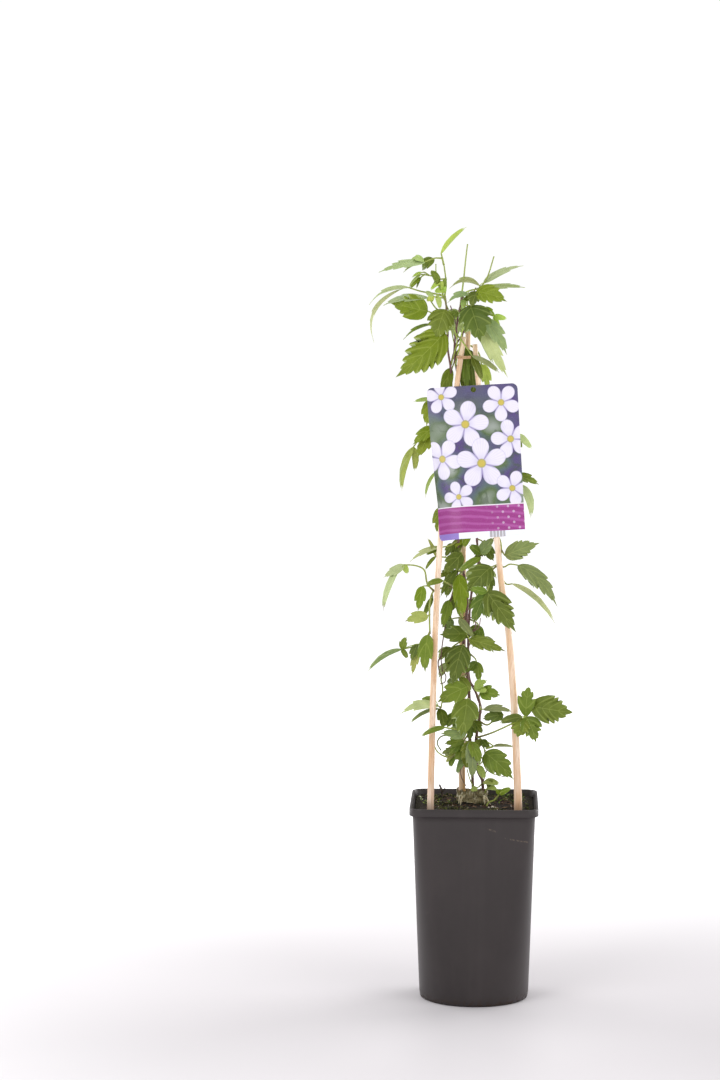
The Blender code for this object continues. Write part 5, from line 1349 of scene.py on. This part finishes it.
leafLook = {
    "thickness": 0.34,
    "fold": 0.2,                  # rise of the sides for each millimetre from the midrib
    "fan": 0.36,                  # up to here the veins start together at the base
    "cut": 0.24,                  # depth of the notches as a share of the half width
    "pucker": 0.034,              # bulge between the veins, for each millimetre of width
    "toothFrom": (0.26, 0.38),    # where along the margin the teeth begin
    "curl": (-0.1, 0.22),         # how far the edges turn down
    "sway": 0.04,                 # sideways bend for each millimetre of length
    "twist": 22,                  # degrees
    # painted backlight: above this height leaves are painted paler, as if washed out by light from behind
    "backlitPaleFrom": 640.0,            # above this height leaves are paler
    "sheen": 0.24,
}

leafTones = {
    "bright": paint(120, 142, 6),
    "mid": paint(103, 121, 29),
    "dark": paint(78, 95, 18),
    # painted sheen: these grey, mist and pale tones are washed-out greens standing in for bright light glancing off
    # tilted leaves
    "greySheen": paint(126, 142, 92),
    "mistSheen": paint(164, 176, 128),
    "light": paint(168, 184, 96),
    "pale": paint(202, 212, 156),
    "young": paint(184, 208, 60),
    "withered": paint(104, 74, 56),
}

stemTones = {
    "woody": paint(112, 86, 72),
    "purple": paint(124, 90, 88),
    "green": paint(158, 172, 84),
    "sage": paint(112, 124, 70),
    "fresh": paint(176, 196, 92),
}


def blend(a, b, share):
    return tuple(p + (q - p) * share for p, q in zip(a, b))


def bladeFrame(base, tip, roll):
    # up out of the leaf's face, and across it; a roll of 0 faces the front
    along = (tip - base).normalized()
    front = Vector((0, -1, 0))
    face = (front - along * front.dot(along)).normalized()
    rise = along.cross(face)
    if rise.z < 0:
        rise = -rise
    turn = radians(roll)
    face = (face * cos(turn) + rise * sin(turn)).normalized()
    return face, face.cross(along)


def spread(share, form):
    # half width along the leaf, 1 at its widest, drawn out to a slender tip
    rise, fall = form
    peak = rise / (rise + fall)
    late = min(max((share - 0.62) / 0.3, 0), 1)
    return (share / peak) ** rise * ((1 - share) / (1 - peak)) ** fall * (1 - 0.42 * late * late * (3 - 2 * late))


def ribPlace(edge):
    # where on the midrib the vein starts that meets the margin at edge; the lowest fan out from the base
    fan = leafLook["fan"]
    return 0.1 * edge if edge < fan else 0.1 * fan + (1 - 0.1 * fan) * ((edge - fan) / (1 - fan)) ** 1.45


def marginRows(rng, count, start, cut, lobe):
    # one margin from base to tip: place, vein count, share cut away, and how far its tooth points forward
    end = 0.85
    shares = [rng.uniform(0.7, 1.35) for _ in range(count)]
    if lobe:
        shares[0] = 2.1
    rows = [(start * share, 0.4 * share - 1.3, 0.0, 0.0) for share in (0, 0.1, 0.28, 0.5, 0.76)]
    low, before = start, 0.0
    for k, share in enumerate(shares):
        run = (end - start) * share / sum(shares)
        notch = lobe if lobe and k == 0 else cut * rng.uniform(0.6, 1.35) * (1.15 - 0.5 * low)
        for phase, out in ((0.05, 0.0), (0.4, 0.66), (0.72, 0.96), (0.92, 1.0)):
            rows.append((low + run * phase, k + phase - 0.92, before * (1 - out) - 0.1 * out, 0.26 * run * out * phase))
        low, before = low + run, notch
    rows.append((0.86, count - 0.85, before * 0.9, 0.0))
    ends = ((0.9, 0.7), (0.94, 0.5), (0.975, 0.3), (1.0, 0))
    return rows + [(place, count - 0.5, before * rest, 0.0) for place, rest in ends]


def growBlade(heap, spec, base):
    tip, width = spec["tip"], spec["width"]
    length = (tip - base).length
    rng = random.Random(f"{tip.x:.1f} {tip.z:.1f}")
    face, side = bladeFrame(base, tip, spec["roll"])
    count = spec.get("fine", (1, 2, 2, 3, 4)[spec["teeth"]] if width > 7 else 1)
    cut = spec.get("cut", leafLook["cut"] if width > 7 else 0.12) * rng.uniform(0.8, 1.25)
    start = spec.get("first", rng.uniform(*leafLook["toothFrom"]))
    margins = [marginRows(rng, count, start, cut, spec.get("lobe", 0)) for _ in (0, 1)]
    sway = rng.uniform(-leafLook["sway"], leafLook["sway"]) * length
    twist = radians(rng.uniform(-leafLook["twist"], leafLook["twist"]))
    fold = leafLook["fold"] * rng.uniform(0.5, 1.6)
    curl = rng.uniform(*leafLook["curl"])
    ripple = rng.uniform(0.5, 1.1) * width * 0.022
    crease = min(0.9, leafLook["pucker"] * width)
    tone = leafTones[spec["tone"]]
    tone = blend(tone, leafTones[rng.choice(("mid", "dark", "bright"))], rng.uniform(0, 0.22))
    # painted backlight: leaves other than the plain greens turn paler with height, standing in for light from behind
    # that washes out the top leaves
    if spec["tone"] not in ("bright", "dark", "mid"):
        tone = blend(tone, leafTones["pale"], 0.25 * min(max((base.z - leafLook["backlitPaleFrom"]) / 60, 0), 1))
    tone = tuple(c * rng.uniform(0.9, 1.1) for c in tone[:3]) + (1.0,)
    across = 5 if width > 14 else 4 if width > 8 else 3
    stops = [(j / across) ** 0.85 for j in range(across + 1)]
    columns = [-t for t in stops[:0:-1]] + stops
    sheets = {0: [], 1: []}
    for sides in zip(*margins):
        r = ribPlace((sides[0][0] + sides[1][0]) / 2)
        for under in (0, 1):
            row = []
            for t in columns:
                edge, veins, inset, ahead = sides[t > 0]
                half = max(width / 2 * max(spread(edge, spec["form"]), 0) * (1 - inset), 0.5 * (1 - r) + 0.06)
                s = r + (edge - r) * abs(t) ** 1.3 + ahead * abs(t) ** 4
                reach = half * t
                turn = twist * (s - 0.5)
                local = side * cos(turn) + face * sin(turn)
                bulge = 4 * s * (1 - s)
                lift = spec["bow"] * length * bulge + abs(reach) * fold - curl * reach * reach / width * 2
                lift += ripple * sin(veins * 2.4 + (2 if t < 0 else 0)) * t * t
                lift += crease * abs(sin(pi * veins)) * 4 * abs(t) * (1 - abs(t))
                spot = base + (tip - base) * s + face * lift + local * reach + side * sway * bulge
                if under:
                    spot -= face * leafLook["thickness"] * (1 - abs(t) ** 3)
                shade = blend(tone, leafTones["light"], 0.14 * s)
                if spec.get("burnt") and s > spec["burnt"]:
                    shade = blend(shade, leafTones["withered"], min((s - spec["burnt"]) * 14, 1))
                row.append(heap.add(spot, tint=shade, veins=veins, fromMid=abs(reach), under=float(under)))
            sheets[under].append(row)
    for under, rows in sheets.items():
        for low, high in zip(rows, rows[1:]):
            for j in range(len(columns) - 1):
                corners = (low[j], high[j], high[j + 1], low[j + 1])
                heap.face(corners if under else corners[::-1])


def makeLeafSkin():
    skin = Finish("leafSkin", leafLook["sheen"])
    tint = skin.colour("tint")
    veins, fromMid, under = skin.value("veins"), skin.value("fromMid"), skin.value("under")
    aside = abs((veins + 0.5).fraction() - 0.5)
    sideVein = (1 - aside.rise(0.01, 0.07)) * fromMid.rise(0.0, 0.3)
    midVein = 1 - fromMid.rise(0.1, 0.42)
    vein = (sideVein * 0.7).highest(midVein)
    net = 1 - skin.cells(900, "DISTANCE_TO_EDGE").rise(0.0, 0.16)
    cloud = skin.noise(110, 4)
    fine = skin.noise(900, 3)
    shaded = skin.mix(cloud.rise(0.3, 0.72) * 0.5, tint, skin.mix(1.0, tint, paint(206, 214, 190), "MULTIPLY"))
    shaded = skin.mix(fine.rise(0.45, 0.7) * 0.22, shaded, skin.mix(1.0, shaded, paint(170, 190, 150), "MULTIPLY"))
    bright = skin.mix(0.3, tint, paint(206, 216, 120))
    top = skin.mix(vein * 0.68 + net * 0.1, shaded, bright)
    below = skin.mix(0.6, tint, paint(168, 184, 132))
    below = skin.mix(vein * 0.5 + net * 0.09, below, paint(204, 210, 160))
    colour = skin.mix(under, top, below)
    dome = (abs((veins * pi).wave())) * fromMid.rise(0.2, 1.6)
    height = dome * 0.8 - vein * 0.5 * (1 - 2 * under) + net * -0.16 + fine * 0.16
    rough = 0.4 + under * 0.22 + cloud * 0.14 + vein * 0.08
    return skin.feed(colour, rough, (height, 0.45, 0.0005))


def makeStemSkin():
    skin = Finish("stemBark", 0.35, {"Subsurface Weight": 0.08, "Subsurface Radius": (0.8, 0.8, 0.3),
                                     "Subsurface Scale": 0.001})
    tint, age = skin.colour("tint"), skin.value("age")
    ribs = skin.noise(1300, 4, 0.6, skin.place((1, 1, 0.06)))
    peel = skin.noise(300, 5, 0.6, skin.place((1, 1, 0.2))).rise(0.52, 0.66) * age
    colour = skin.mix(ribs.rise(0.4, 0.68) * 0.5, tint, skin.mix(1.0, tint, paint(150, 140, 136), "MULTIPLY"))
    colour = skin.mix(peel * 0.6, colour, paint(150, 128, 108))
    return skin.feed(colour, 0.45 + age * 0.3 + ribs * 0.1, (ribs + peel, 0.6, 0.0004))


vineLook = {
    "woodyTo": 220.0,             # heights where the stems change tone
    "purpleFrom": 420.0,
    "greenFrom": 735.0,
    "freshFrom": 700.0,           # shoots and stalks above this are green from the foot
    "stalk": 0.85,                # radius of the shortest leaf stalks
}


def stemTone(name, z):
    # woody at the foot, purple up to the top leaves, green in the young shoots
    if name == "sprout":
        return stemTones["green"]
    if z < vineLook["purpleFrom"]:
        return blend(stemTones["woody"], stemTones["purple"], max(z - vineLook["woodyTo"], 0) / 200)
    return blend(stemTones["purple"], stemTones["fresh"], min(max(z - vineLook["greenFrom"], 0) / 30, 1))


def growStalk(heap, points, low, high, foot, head, age=0.0, sides=7, each=5):
    run = smoothRun(points, each)

    def radiusAt(share):
        return low + (high - low) * share + 0.35 * exp(-share * 22)

    growTube(heap, run, radiusAt, sides,
             lambda share: {"tint": blend(foot, head, min(share * 2.2, 1)), "age": age * (1 - share)})
    return run


def makeVine(name, leafSkin, stemSkin):
    stalks = Heap("tint", "age")
    blades = Heap("tint", "veins", "fromMid", "under")
    stem = stems[name]
    run = seenRun(stem["path"], 6)
    joints = [seen(row[0][0]) for row in shootRows[name] + leafRows[name]]
    thick, thin = stem["radius"]

    def spotAt(share):
        return run[min(int(share * (len(run) - 1) + 0.5), len(run) - 1)]

    def radiusAt(share):
        knuckle = max([exp(-((spotAt(share) - joint).length / 2.6) ** 2) for joint in joints] + [0])
        ridge = 0.08 * sin(share * 190) if share < 0.5 else 0
        return thick + (thin - thick) * share + ridge + 0.55 * knuckle * (1 - share * 0.4)

    growTube(stalks, run, radiusAt, 10,
             lambda share: {"tint": stemTone(name, spotAt(share).z), "age": max(0.0, 1 - share * 1.5)})
    green, purple, fresh = (stemTones[tone] for tone in ("green", "purple", "fresh"))
    for path, (low, high) in shootRows[name]:
        path = [seen(p) for p in path]
        growStalk(stalks, path, low, high, fresh if path[0].z > vineLook["freshFrom"] else purple, green, 0.2, 8)
    for stalk, *rows in leafRows[name]:
        stalk = [seen(p) for p in stalk]
        foot = purple if stalk[0].z < vineLook["freshFrom"] else green
        far = sum((b - a).length for a, b in zip(stalk, stalk[1:]))
        stout = vineLook["stalk"] + 0.005 * min(far, 60)
        growStalk(stalks, stalk, stout, stout * 0.72, blend(foot, green, 0.35), green)
        end = stalk[-1]
        for spec in (blade(*row) for row in rows):
            base = spec["base"] or end
            if spec["base"]:
                growStalk(stalks, [end, end.lerp(base, 0.5) + upBy(0.6), base], 0.5, 0.42, green, fresh)
            growBlade(blades, spec, base)
    for path, (low, high), foot, head in threadRows[name]:
        growStalk(stalks, [seen(p) for p in path], low, high, stemTones[foot], stemTones[head], 0.1)
    whole = name.replace("_", "")
    stalks.piece(whole + "Stems", "leaf", stemSkin, name)
    if blades.points:
        blades.piece(whole + "Leaves", "leaf", leafSkin, name)
    print(name, len(stalks.faces), "stem faces,", len(blades.faces), "leaf faces")


leafSkin = makeLeafSkin()
stemSkin = makeStemSkin()
for name in stems:
    makeVine(name, leafSkin, stemSkin)
print("vines grown")
